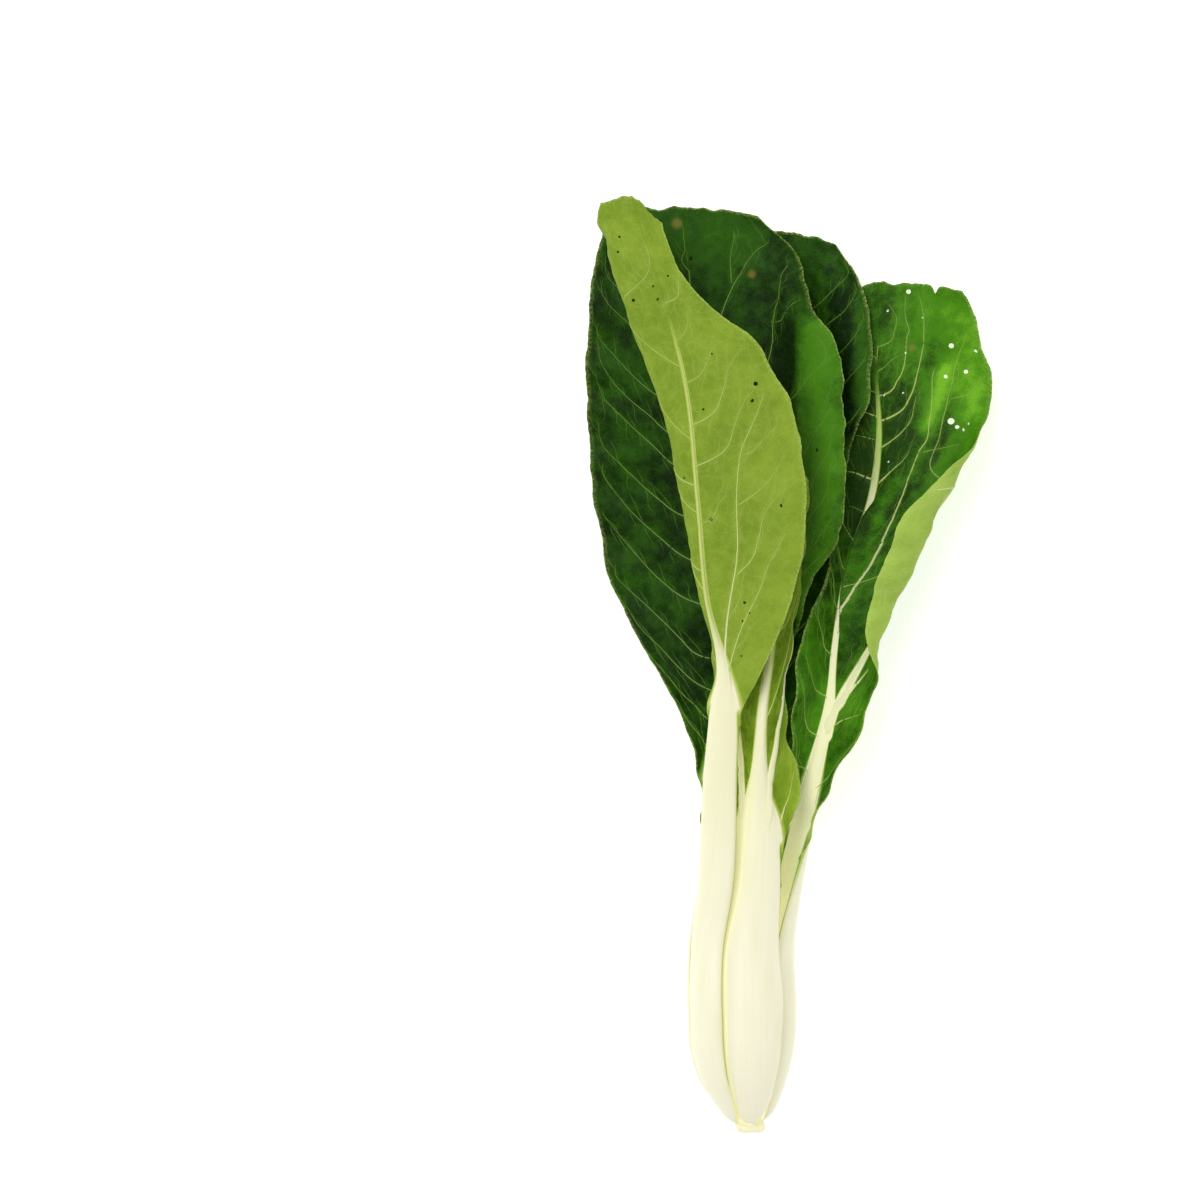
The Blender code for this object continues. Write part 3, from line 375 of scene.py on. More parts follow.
DOTS = (
    ("3", 1, 0.09, 264.4, 0.34), ("3", 1, 0.27, 250.4, 0.30), ("3", 1, 0.22, 237.1, 0.28),
    ("3", 1, 0.05, 237.1, 0.30),
    ("3", 1, 0.09, 215.4, 0.28), ("3", 1, 0.77, 220.3, 0.4), ("3", 1, 0.82, 221.7, 0.3),
    ("3", 1, 0.45, 262.0, 0.26),
)
# Brown blotches: (leaf, side, share, y, radius)
BLOTCHES = (
    ("4", -1, 0.11, 292.4, 1.9), ("4", 1, 0.52, 279.0, 1.5), ("3", 1, 0.33, 252.0, 1.3),
    ("1", 1, 0.78, 190.0, 0.9),
)
# Notches in the upper edge: (place from the midrib, depth, half-width) in mm
NOTCHES = {
    "3": ((17.5, 2.6, 0.9), (4.0, 1.0, 2.0)),
    "1": ((6.5, 1.2, 2.4),),
    "4": ((9.0, 1.0, 2.2), (-9.0, 1.2, 2.5)),
}
# Crown: (y, x, radius)
CROWN = ((0.9, -1.5, 3.9), (1.6, -1.5, 4.5), (3.2, -1.8, 4.8), (5.6, -3.2, 4.9), (9.0, -4.1, 4.6),
         (13.0, -4.3, 6.0), (17.0, -4.3, 6.2), (20.5, -4.3, 4.6), (22.4, -4.3, 2.4))


def smooth(knots, at, monotone=False):
    """Values at the places `at` on a cubic curve through knots of (place, value, ...)."""
    table = np.array(knots, dtype=float)
    place = table[:, 0]
    value = table[:, 1:]
    step = np.diff(place)[:, None]
    slope = np.diff(value, axis=0) / step
    tangent = np.zeros_like(value)
    tangent[0] = slope[0]
    tangent[-1] = slope[-1]
    before = slope[:-1]
    after = slope[1:]
    if monotone:
        same_way = before * after > 0
        total = np.where(same_way, before + after, 1.0)
        tangent[1:-1] = np.where(same_way, 2 * before * after / total, 0.0)
    else:
        tangent[1:-1] = (before * step[1:] + after * step[:-1]) / (step[1:] + step[:-1])
    at = np.clip(np.atleast_1d(np.asarray(at, dtype=float)), place[0], place[-1])
    low = np.clip(np.searchsorted(place, at, side="right") - 1, 0, len(place) - 2)
    width = step[low]
    part = ((at - place[low])[:, None]) / width
    square = part * part
    cube = square * part
    return ((2 * cube - 3 * square + 1) * value[low] + (cube - 2 * square + part) * width * tangent[low]
            + (3 * square - 2 * cube) * value[low + 1] + (cube - square) * width * tangent[low + 1])


def ease(low, high, at):
    """Smooth step from 0 at low to 1 at high."""
    part = np.clip((np.asarray(at, dtype=float) - low) / (high - low), 0.0, 1.0)
    return part * part * (3 - 2 * part)


def ripple(seed, sizes, s, y):
    """Smooth uneven waves over the sheet: sizes are (wavelength in mm, height)."""
    draw = np.random.RandomState(seed)
    total = np.zeros(np.broadcast(s, y).shape)
    for length, height in sizes:
        for _ in range(3):
            turn = draw.uniform(0, math.pi)
            phase = draw.uniform(0, math.tau)
            size = length * draw.uniform(0.8, 1.25)
            run = s * math.cos(turn) + y * math.sin(turn)
            total = total + height / 3 * np.sin(math.tau / size * run + phase)
    return total


def leaf_shape(leaf, detail):
    """The leaf with its spine and tilt from the crown to the tip."""
    angle = math.radians(leaf["angle"])
    rings = leaf.get("start", (TAIL,) + WHORL)
    spine = []
    for y, radius in rings:
        lean = LEAN * (1 - float(ease(4, 24, y)))
        spine.append((y, WHORL_X + lean + radius * math.cos(angle), WHORL_Z + radius * math.sin(angle)))
    turn = (leaf["angle"] - 90 * leaf["face"] + IMBRICATE + 180) % 360 - 180
    shape = {**leaf, **detail}
    if "start" not in leaf:
        full = leaf["half"][0][1]
        shape["half"] = ((TAIL[0], 0.4 * full), (4.9, 0.74 * full), (5.6, 0.9 * full)) + leaf["half"]
        shape["thick"] = ((TAIL[0], 0.5),) + leaf["thick"]
    shape["spine"] = tuple(spine) + tuple(leaf["spine"])
    shape["tilt"] = ((rings[0][0], turn), (rings[-1][0], turn)) + tuple(leaf["tilt"])
    first = leaf["rows"][0][0]
    cup = -leaf["face"] * smooth(leaf["cup"], first)[0, 0]
    joined = (first,) + tuple(cup * turn for turn in TURNS)
    shape["left"] = (joined,) + tuple(leaf["left"])
    shape["right"] = (joined,) + tuple(leaf["right"])
    return shape


def surface_row(shape, y, side, columns):
    """Middle surface of one side of a row: points, distance from the midrib, and width of the wing."""
    first = shape["rows"][0][0]
    values = smooth(shape["rows"], max(y, first), True)[0]
    row_reach, rise = (values[0], values[1]) if side < 0 else (values[2], values[3])
    slim = 1 - shape["slim"] * float(ease(first + 4, first + 36, y))
    half = smooth(shape["half"], y, True)[0, 0] * slim
    half_first = smooth(shape["half"], max(y, first), True)[0, 0] * slim
    grow = float(ease(first - JOIN, first + 8, y))
    wing = (row_reach - half_first) * grow
    margin = ripple(shape["seed"] + 7 + side, SIDE_EDGE, 0.0, y) * grow
    wing = max(0.0, wing + min(1.0, wing / 5) * float(margin))
    if wing < OPEN_WING:
        wing = 0.0
    stalk_share = np.linspace(0.0, 1.0, shape["stalk_columns"] + 1) ** COLUMN_BOW
    wing_share = np.linspace(0.0, 1.0, columns + 1)[1:] ** GATHER
    wing_share[-2] = RIM_SHARE
    lengths = np.concatenate((half * stalk_share, half + wing * wing_share))
    share = np.linspace(0.0, 1.0, CURVE_STEPS + 1)
    if y < first:
        turns = -shape["face"] * smooth(shape["cup"], y)[0, 0] * np.array(TURNS)
        spread = half + (row_reach - half_first) * float(ease(first - JOIN, first, y))
    else:
        turns = smooth(shape["left" if side < 0 else "right"], y)[0]
        spread = row_reach
    reach = half + wing
    along = share * max(reach, half)
    bend = smooth(tuple(zip(TURNS, turns)), np.minimum(along / spread, 1.0))[:, 0]
    direction = np.radians(smooth(shape["tilt"], y)[0, 0] + side * bend)
    middle = (direction[1:] + direction[:-1]) / 2
    run_x = np.concatenate(([0.0], np.cumsum(np.diff(along) * np.cos(middle))))
    run_z = np.concatenate(([0.0], np.cumsum(np.diff(along) * np.sin(middle))))
    offset_x = side * np.interp(lengths, along, run_x)
    offset_z = side * np.interp(lengths, along, run_z)
    facing = np.interp(lengths, along, direction)
    out = np.clip((lengths - half) / max(wing, 0.01), 0.0, 1.0) * (wing > 0)
    last = shape["rows"][-1][0]
    tip = ripple(shape["seed"] + 31 + side, TOP_EDGE, lengths * side, 0.0)
    height = y + rise * out ** ROW_BOW + tip * ease(last - 14, last, y)
    for place, depth, wide in shape.get("notches", ()):
        gap = np.exp(-((lengths * side - place) / wide) ** 2)
        height = height - depth * gap * ease(last - 3.2 * depth, last, y) ** 2
    amount, pitch, start = shape["wave"]
    uneven = 1.4 * np.sin(height / 19 + start)
    wave = amount * out ** 3 * np.sin(math.tau * height / pitch * 1.6 + start + side + uneven)
    wave = wave + grow * out ** 2 * ripple(shape["seed"] + 3, OUTER_SHEET, lengths * side, y)
    spine = smooth(shape["spine"], y)[0]
    x = spine[0] + offset_x - wave * np.sin(facing)
    z = spine[1] + offset_z + wave * np.cos(facing)
    if side > 0 and shape["bulge"]:
        (low, high, fall, end), aside, up, away = shape["bulge"]
        beyond = np.maximum(lengths - half, 0.0)
        amount = ease(low, high, y) * (1 - ease(fall, end, y)) * (1 - np.exp(-(beyond / 0.9) ** 2))
        amount = amount * np.exp(-(beyond / away) ** 2)
        x = x - aside * amount
        z = z + up * amount
    z = np.where(out > 0, np.maximum(z, SHEET + 0.1 + 0.12 * np.tanh(z)), z)
    return np.stack((x, height, z), axis=-1), lengths * side, wing, half


def leaf_grid(shape):
    """Middle surface of a whole leaf as a grid, from its left edge to its right and from the crown up."""
    start = shape["half"][0][0]
    first = shape["rows"][0][0]
    last = shape["rows"][-1][0]
    lower = np.linspace(start, first - JOIN, max(8, int((first - JOIN - start) / PETIOLE_STEP)) + 1)
    upper = np.arange(first - JOIN, last, shape["step"])[1:]
    ys = np.concatenate((lower, upper, [last]))
    left_columns, right_columns = shape["wing_columns"]
    stalk = shape["stalk_columns"]
    points, places, wings, halves = [], [], [], []
    for y in ys:
        left = surface_row(shape, y, -1, left_columns)
        right = surface_row(shape, y, 1, right_columns)
        points.append(np.concatenate((left[0][::-1], right[0][1:])))
        places.append(np.concatenate((left[1][::-1], right[1][1:])))
        wings.append((left[2], right[2]))
        halves.append(left[3])
    grid = {
        "points": np.array(points), "s": np.array(places), "y": ys, "wing": np.array(wings),
        "half": np.array(halves), "stalk": stalk, "columns": (left_columns, right_columns),
        "middle": left_columns + stalk, "first": first, "last": last,
    }
    grid["normal"] = grid_normals(grid)
    return grid


def wing_at(grid, side, y):
    """Width of the wing on one side at a height."""
    return float(np.interp(y, grid["y"], grid["wing"][:, int(side > 0)]))


def column_of(grid, side, share):
    """Column at a share of the wing, or within the stalk where the share is below 0."""
    stalk = grid["stalk"]
    columns = grid["columns"][0 if side < 0 else 1]
    offset = stalk + share ** (1 / GATHER) * columns if share >= 0 else stalk * (1 + share)
    return grid["middle"] + side * offset


def grid_normals(grid):
    """Upward normals of the middle surface. A wing without width takes the normal of the stalk's edge."""
    points = grid["points"]
    across = np.gradient(points, axis=1)
    along = np.gradient(points, grid["y"], axis=0)
    normal = np.cross(across, along)
    normal /= np.maximum(np.linalg.norm(normal, axis=2), 1e-9)[:, :, None]
    for index, side in enumerate((-1, 1)):
        edge = grid["middle"] + side * grid["stalk"]
        flat = grid["wing"][:, index] < 0.3
        inner = normal[:, edge - side]
        beyond = slice(0, edge + 1) if side < 0 else slice(edge, None)
        blended = np.repeat(inner[:, None], normal[:, beyond].shape[1], axis=1)
        normal[flat, beyond] = blended[flat]
    return normal


def sample(grid, key, side, share, y):
    """Value of a grid array at places of the wing, between its rows and columns."""
    values = grid[key]
    row = np.interp(y, grid["y"], np.arange(len(grid["y"])))
    column = column_of(grid, side, share)
    r0 = min(int(row), len(grid["y"]) - 2)
    c0 = int(min(max(int(column), 0), values.shape[1] - 2))
    fr = row - r0
    fc = column - c0
    return ((1 - fr) * ((1 - fc) * values[r0, c0] + fc * values[r0, c0 + 1])
            + fr * ((1 - fc) * values[r0 + 1, c0] + fc * values[r0 + 1, c0 + 1]))


def along_path(grid, key, side, path):
    """Values of a grid array at each place of a path."""
    return np.array([sample(grid, key, side, w, y) for w, y in path])


def seen_path(grid, places):
    """Side and (share, y) pairs of places given as (x, y) seen from above."""
    points = grid["points"]
    found = []
    before = None
    for x, y in places:
        away = np.hypot(points[:, :, 0] - x, points[:, :, 1] - y)
        rows, columns = np.nonzero(away < away.min() + 0.5)
        if before is None:
            pick = np.argmax(points[rows, columns, 2])
        else:
            pick = np.argmin(np.hypot(rows - before[0], columns - before[1]) + 4 * away[rows, columns])
        before = (rows[pick], columns[pick])
        r0 = int(np.clip(before[0], 1, points.shape[0] - 2))
        c0 = int(np.clip(before[1], 1, points.shape[1] - 2))
        down = (points[r0 + 1, c0] - points[r0 - 1, c0])[:2] / 2
        over = (points[r0, c0 + 1] - points[r0, c0 - 1])[:2] / 2
        gap = np.array((x, y)) - points[r0, c0, :2]
        area = down[0] * over[1] - down[1] * over[0]
        if abs(area) < 0.02:
            found.append((float(grid["y"][r0]), float(c0)))
            continue
        dr = (gap[0] * over[1] - gap[1] * over[0]) / area
        dc = (down[0] * gap[1] - down[1] * gap[0]) / area
        row = r0 + float(np.clip(dr, -1.5, 1.5))
        height = float(np.interp(row, np.arange(len(grid["y"])), grid["y"]))
        found.append((height, c0 + float(np.clip(dc, -1.5, 1.5))))
    side = 1 if found[-1][1] > grid["middle"] else -1
    columns = grid["columns"][0 if side < 0 else 1]
    path = []
    for y, column in found:
        offset = (column - grid["middle"]) * side
        share = offset / grid["stalk"] - 1
        if offset >= grid["stalk"]:
            share = ((offset - grid["stalk"]) / columns) ** GATHER
        path.append((float(np.clip(share, -0.95, 0.97)), y))
    return side, tuple(path)


def vein_rule(name, shape, grid):
    """Veins of a leaf: those traced, side veins by rule where none is traced, and the net that joins them."""
    draw = np.random.RandomState(shape["seed"])
    result = []
    first = grid["first"]
    last = grid["last"]
    seen = [(*seen_path(grid, places), start, end) for places, start, end in SEEN_VEINS.get(name, ())]
    for side in (-1, 1):
        traced = VEINS.get((name, side), ()) + tuple(vein[1:] for vein in seen if vein[0] == side)
        result.extend((side, path, start, end) for path, start, end in traced)
        mains = [(path, start) for path, start, end in traced]
        pitch = 12.0 if shape["face"] < 0 else 13.0
        y = first + 4 + (5 if side > 0 else 0)
        top = min(shape["end"] + 6, last - 8)
        while y < top and not name.startswith("h"):
            wing = wing_at(grid, side, y)
            gain = 5 + 0.42 * wing * draw.uniform(0.85, 1.15)
            taken = any(abs(path[0][1] - y) < 7 or abs(path[min(2, len(path) - 1)][1] - y - gain * 0.4) < 5
                        for path, _ in mains)
            if not taken and wing > 4:
                path = ((-0.5, y), (0.16, y + 0.15 * gain), (0.42, y + 0.4 * gain), (0.7, y + 0.75 * gain),
                        (0.88, y + 1.1 * gain), (0.91, y + 1.45 * gain))
                path = tuple((w + draw.uniform(-0.03, 0.03), min(v + draw.uniform(-1.3, 1.3), last - 1))
                             for w, v in path)
                result.append((side, path, 0.62, 0.2))
                mains.append((path, 0.62))
            y += pitch * draw.uniform(0.7, 1.35)
        if name.startswith("h"):
            for index in range(5):
                y = first + 4 + index * (last - first - 16) / 5
                path = ((-0.5, y), (0.3, y + 3), (0.65, y + 7), (0.9, y + 12))
                result.append((side, tuple((w, min(v, last - 1)) for w, v in path), 0.55, 0.2))
            continue
        result.extend(net_between(side, mains, grid, draw))
    return result


def net_between(side, mains, grid, draw):
    """Thin cross veins that leave the side veins and run towards their neighbours."""
    fine = []
    last = grid["last"]
    for path, _ in mains:
        knots = np.array(path)
        place = np.arange(len(knots), dtype=float)
        count = max(3, int(len(knots) * 1.5))
        for index in range(count):
            at = (index + draw.uniform(0.5, 1.1)) / (count + 0.6) * (len(knots) - 1)
            w, y = smooth(np.column_stack((place, knots)), at)[0]
            if w < 0.03:
                continue
            for way in (-1, 1):
                if draw.uniform() < 0.2:
                    continue
                wing = max(4.0, wing_at(grid, side, y))
                run = draw.uniform(4.5, 8.5)
                lean = draw.uniform(0.15, 1.0) * (1 if way > 0 else -0.6)
                dy = way * run * draw.uniform(0.55, 0.9)
                dw = lean * run * 0.6 / wing
                bow = draw.uniform(-1.2, 1.2) / wing
                line = [(w, y), (w + 0.45 * dw + bow, y + 0.4 * dy), (w + dw, y + dy)]
                if draw.uniform() < 0.6:
                    line.append((w + dw * draw.uniform(1.3, 2.0) + bow, y + dy * draw.uniform(1.2, 1.5)))
                line = [(float(np.clip(a, 0.01, 0.96)), float(min(b, last - 0.8))) for a, b in line]
                fine.append((side, tuple(line), 0.3, 0.15))
                if draw.uniform() < 0.45 and len(line) > 3:
                    a, b = line[1]
                    end = (float(np.clip(a + draw.uniform(-3, 3) / wing, 0.01, 0.96)),
                           float(min(b + draw.uniform(1.5, 4), last - 0.8)))
                    fine.append((side, ((a, b), end), 0.22, 0.13))
    return fine


def vein_points(grid, side, path):
    """Evenly spaced places along a vein: (share, y) pairs about a millimetre apart."""
    knots = np.array(path, dtype=float)
    place = np.arange(len(knots), dtype=float)
    dense = np.linspace(0, len(knots) - 1, 12 * len(knots))
    curve = smooth(np.column_stack((place, knots)), dense)
    points = along_path(grid, "points", side, curve)
    run = np.concatenate(([0.0], np.cumsum(np.linalg.norm(np.diff(points, axis=0), axis=1))))
    count = max(3, int(run[-1] / 1.1) + 1)
    at = np.linspace(0, run[-1], count)
    return np.column_stack((np.interp(at, run, curve[:, 0]), np.interp(at, run, curve[:, 1])))


def sheet_thickness(shape, grid):
    """Half-thickness towards the underside and towards the inner face at every point of the grid."""
    ys = grid["y"]
    thick = smooth(shape["thick"], ys, True)[:, 0] / 2
    thick = thick + (SHEET - thick) * ease(shape["end"] - 12, shape["end"] + 12, ys)
    s = np.abs(grid["s"])
    half = grid["half"][:, None]
    share = np.clip(s / half, 0.0, 1.0)
    body = EDGE + (1 - EDGE) * (1 - share ** 2.2)
    columns = np.arange(grid["s"].shape[1])
    wing = np.where(columns[None, :] < grid["middle"], grid["wing"][:, :1], grid["wing"][:, 1:])
    open_edge = 1 - ease(0.0, 1.2, wing)
    corner = np.clip((share - 0.9) / 0.1, 0.0, 1.0)
    rounded = np.sqrt(np.maximum(1 - corner ** 2, 0.04))
    body = body * (1 - open_edge + open_edge * rounded)
    high = ease(grid["first"] + 4, grid["first"] + 46, ys)[:, None]
    outer = thick[:, None] * body
    inner = thick[:, None] * body * (1 - 0.72 * high)
    beyond = np.maximum(s - half, 0.0)
    fall = np.exp(-beyond / 1.5)
    in_wing = beyond > 0
    outer = np.where(in_wing, SHEET + (outer - SHEET) * fall, outer)
    inner = np.where(in_wing, SHEET + (inner - SHEET) * fall, inner)
    out = np.where(wing > 0.5, np.clip(beyond / np.maximum(wing, 0.5), 0, 1), 0)
    thin = 1 - 0.55 * ease(0.97, 1.0, out)
    return outer * thin, inner * thin, out, wing


def build_leaf(name, prefix, leaf, detail):
    """One whole leaf as a closed mesh with its veins, and its measures as attributes for the material."""
    key = name if not prefix else f"h{name}"
    shape = leaf_shape(leaf, detail)
    shape["seed"] = 100 * (int(name) + (10 if prefix else 0))
    shape["notches"] = NOTCHES.get(key, ())
    shape["slim"] = SLIM.get(key, 0.45)
    shape["pale"] = PALE.get(key, (shape["rows"][0][0], shape["rows"][0][0] + 40))
    shape["bulge"] = BULGE.get(key)
    shape["key"] = key
    if key in WINGS:
        shape["wing_columns"] = WINGS[key]
    grid = leaf_grid(shape)
    veins = vein_rule(key, shape, grid)
    lines = [(side, vein_points(grid, side, path), start, end) for side, path, start, end in veins]
    rows, columns = grid["s"].shape

    tree_points = []
    for side, line, start, end in lines:
        for index, (w, y) in enumerate(line):
            size = start + (end - start) * index / (len(line) - 1)
            tree_points.append((sample(grid, "points", side, w, y), size))
    tree = kdtree.KDTree(len(tree_points))
    for index, (point, _) in enumerate(tree_points):
        tree.insert(point, index)
    tree.balance()
    near = np.zeros((rows, columns))
    first_row = int(np.searchsorted(grid["y"], grid["first"] - 4))
    for row in range(first_row, rows):
        for column in range(columns):
            _, index, distance = tree.find(grid["points"][row, column])
            size = tree_points[index][1]
            near[row, column] = math.exp(-(distance / (0.7 + 1.5 * size)) ** 2) * min(1.0, 0.35 + size)
    wide = np.zeros((rows, columns))
    for side, line, start, end in lines:
        if start >= 1.5:
            for index, (w, y) in enumerate(line):
                size = (start + (end - start) * (index / (len(line) - 1)) ** 0.7) / 2
                distance = np.linalg.norm(grid["points"] - sample(grid, "points", side, w, y), axis=2)
                wide = np.maximum(wide, ease(size + 0.3, size - 0.3, distance) * ease(0.3, 0.9, size))
    flesh = wide
    if key in FAN:
        fan = ease(FAN_HIDES[0], FAN_HIDES[1], np.abs(grid["s"])) * (grid["y"] < FAN_HIDES[2])[:, None]
        flesh = np.maximum(flesh, fan)
    covered = {**grid, "flesh": flesh}
    lines = [(side, line, start, end) for side, line, start, end in lines
             if start >= NET_START or max(sample(covered, "flesh", side, w, y) for w, y in line) < 0.3]
    outer, inner, out, wing = sheet_thickness(shape, grid)
    middle_vein = np.exp(-np.maximum(np.abs(grid["s"]) - grid["half"][:, None], 0) / 2.2)
    calm = np.maximum(near, middle_vein)
    swell = (1 - calm) * ease(grid["first"], grid["first"] + 20, grid["y"])[:, None]
    swell = swell * (1 - ease(0.9, 1.0, out))
    change = ripple(shape["seed"] + 5, BLISTERS, grid["s"], grid["points"][:, :, 1])
    pucker = BLISTER_RISE * swell + BLISTER_CHANGE * swell * change
    grid["points"] = grid["points"] - shape["face"] * grid["normal"] * pucker[:, :, None]
    grid["normal"] = grid_normals(grid)

    parts = [sheet_part(shape, key, grid, outer, inner, out, wing, near, wide)]
    parts.extend(vein_part(shape, grid, line, outer, inner) for line in lines)
    for spots, sign in ((BITES, 1.0), (DOTS, -1.0)):
        parts.extend(spot_part(shape, grid, *spot[1:], sign) for spot in spots if spot[0] == key)
    obj = join_parts(f"{prefix}leaf_{name}", parts)
    return obj, shape


ATTRIBUTES = ("white", "vein", "rim", "inner", "blotch", "bite", "tone")


def tone_field(key, points):
    """Painted light and shade: how much brighter or darker the sheet is painted at its points, from the table
    of painted patches and from the painted light on the turned-up edge.
    """
    tone = np.zeros(points.shape[:-1])
    flat = points[..., :2]
    for _, places, radius, amount in [row for row in PAINTED_SHADING_PATCHES if row[0] == key]:
        ends = [np.array(place, dtype=float) for place in places]
        nearest = np.linalg.norm(flat - ends[0], axis=-1)
        for a, b in zip(ends[:-1], ends[1:]):
            share = np.clip(((flat - a) @ (b - a)) / ((b - a) @ (b - a)), 0.0, 1.0)
            nearest = np.minimum(nearest, np.linalg.norm(flat - a - share[..., None] * (b - a), axis=-1))
        tone = tone + amount * np.exp(-(nearest / radius) ** 2)
    # Painted light brightens the turned-up edge.
    if key in FLAP_PAINTED_LIGHT:
        start, low, high, amount = FLAP_PAINTED_LIGHT[key]
        flap_light = ease(*start, points[..., 0]) * ease(*low, points[..., 1]) * (1 - ease(*high, points[..., 1]))
        tone = tone + amount * flap_light
    return tone


def sheet_part(shape, key, grid, outer, inner, out, wing, near, wide):
    """Closed sheet of the leaf: points, faces and attribute values."""
    rows, columns = grid["s"].shape
    points = grid["points"].copy()
    top = outer if shape["face"] > 0 else inner
    low = inner if shape["face"] > 0 else outer

    keep = np.ones((rows - 1, columns - 1), dtype=bool)
    centres = (points[:-1, :-1] + points[1:, :-1] + points[:-1, 1:] + points[1:, 1:]) / 4
    for _, side, w, y, radius in [hole for hole in HOLES if hole[0] == key]:
        centre = sample(grid, "points", side, w, y)
        wobble = 1 + 0.12 * math.sin(7 * w + y)
        distance = np.linalg.norm(centres - centre, axis=2)
        keep &= distance > radius * wobble
        away = points - centre
        length = np.linalg.norm(away, axis=2)
        edge = np.zeros((rows, columns), dtype=bool)
        gone = distance <= radius * wobble
        for dr in (0, 1):
            for dc in (0, 1):
                edge[dr:rows - 1 + dr, dc:columns - 1 + dc] |= gone
        move = edge & (length > 1e-6) & (length > 0.35 * radius)
        points[move] = centre + away[move] / length[move][:, None] * radius * wobble

    ids = np.arange(rows * columns).reshape(rows, columns)
    left_edge = grid["middle"] - grid["stalk"]
    right_edge = grid["middle"] + grid["stalk"]
    for row in range(rows):
        if grid["wing"][row, 0] == 0:
            ids[row, :left_edge] = ids[row, left_edge]
        if grid["wing"][row, 1] == 0:
            ids[row, right_edge + 1:] = ids[row, right_edge]
    faces = []
    edges = {}
    a = ids[:-1, :-1][keep]
    b = ids[:-1, 1:][keep]
    c = ids[1:, 1:][keep]
    d = ids[1:, :-1][keep]
    for quad in zip(a.tolist(), b.tolist(), c.tolist(), d.tolist()):
        ring = [corner for index, corner in enumerate(quad) if corner != quad[index - 1]]
        if len(set(ring)) < 3:
            continue
        faces.append(tuple(ring))
        for index, corner in enumerate(ring):
            edges[(ring[index - 1], corner)] = True
    count = rows * columns
    closed = list(faces)
    closed.extend(tuple(corner + count for corner in reversed(face)) for face in faces)
    for start, end in edges:
        if (end, start) not in edges:
            closed.append((end, start, start + count, end + count))

    normal = grid["normal"]
    upper = (points + normal * top[:, :, None]).reshape(-1, 3)
    under = (points - normal * low[:, :, None]).reshape(-1, 3)
    s = grid["s"]
    half = grid["half"][:, None]
    y = grid["y"][:, None]
    first = grid["first"]
    beyond = np.maximum(np.abs(s) - half, 0.0)
    reach = 0.3 + 2.2 * (1 - ease(first - 6, first + 26, y))
    fade = 1 - 0.34 * ease(*shape["pale"], y) - 0.6 * ease(shape["end"] - 18, shape["end"] + 4, y)
    white = np.exp(-(beyond / reach) ** 2) * fade
    white = white * (1 - 0.85 * ease(0.5, 3.0, beyond) * ease(first - 10, first, y))
    if key in FAN:
        wide_at, narrowing, above, top, end = FAN[key]
        edge = wide_at - narrowing * np.maximum(y - above, 0.0)
        spread = ease(edge, edge - 1.6, np.abs(s)) * (1 - ease(top - np.abs(s), end - np.abs(s), y))
        white = np.maximum(white, spread)
    white = np.maximum(white, wide * (1 - 0.3 * ease(*shape["pale"], y)))
    share = np.abs(s) / half
    edge_green = ease(0.9, 0.99, share) * ease(first - 34, first - 4, y) * (1 - ease(0.2, 2.0, wing))
    white = white * (1 - 0.9 * edge_green)
    # rim marks the blade's edge, painted pale in dots: its own pale margin with painted highlights on its
    # teeth.
    rim = np.where((wing > 0.5) & (out > 0.5), ease(0.7, 0.1, (1 - out) * wing), 0.0)
    # A stalk's open edge gets rim too: there the flesh turns its own yellow-green and is darkened as painted
    # shade.
    rim = rim + 0.5 * ease(0.86, 1.0, share) * (1 - ease(0.2, 1.0, wing)) * ease(8, 20, y)
    top_row = ease(grid["last"] - 0.9, grid["last"], y) * np.ones_like(s)
    rim = np.maximum(rim, top_row)
    blotch = np.zeros_like(s)
    for _, side, w, at, radius in [spot for spot in BLOTCHES if spot[0] == key]:
        centre = sample(grid, "points", side, w, at)
        blotch += np.exp(-(np.linalg.norm(points - centre, axis=2) / radius) ** 2)
    # The sheet's last value is its painted light and shade.
    both = {"white": white, "vein": near, "rim": rim, "blotch": blotch, "bite": np.zeros_like(s),
            "tone": tone_field(key, grid["points"])}
    values = {name: np.concatenate((array.reshape(-1), array.reshape(-1))) for name, array in both.items()}
    facing = np.zeros(2 * count)
    facing[(count if shape["face"] > 0 else 0):(2 * count if shape["face"] > 0 else count)] = 1.0
    values["inner"] = facing
    place = np.stack((s, grid["points"][:, :, 1] * np.ones_like(s), np.zeros_like(s)), axis=-1).reshape(-1, 3)
    values["place"] = np.concatenate((place, place))
    return np.concatenate((upper, under)), closed, values


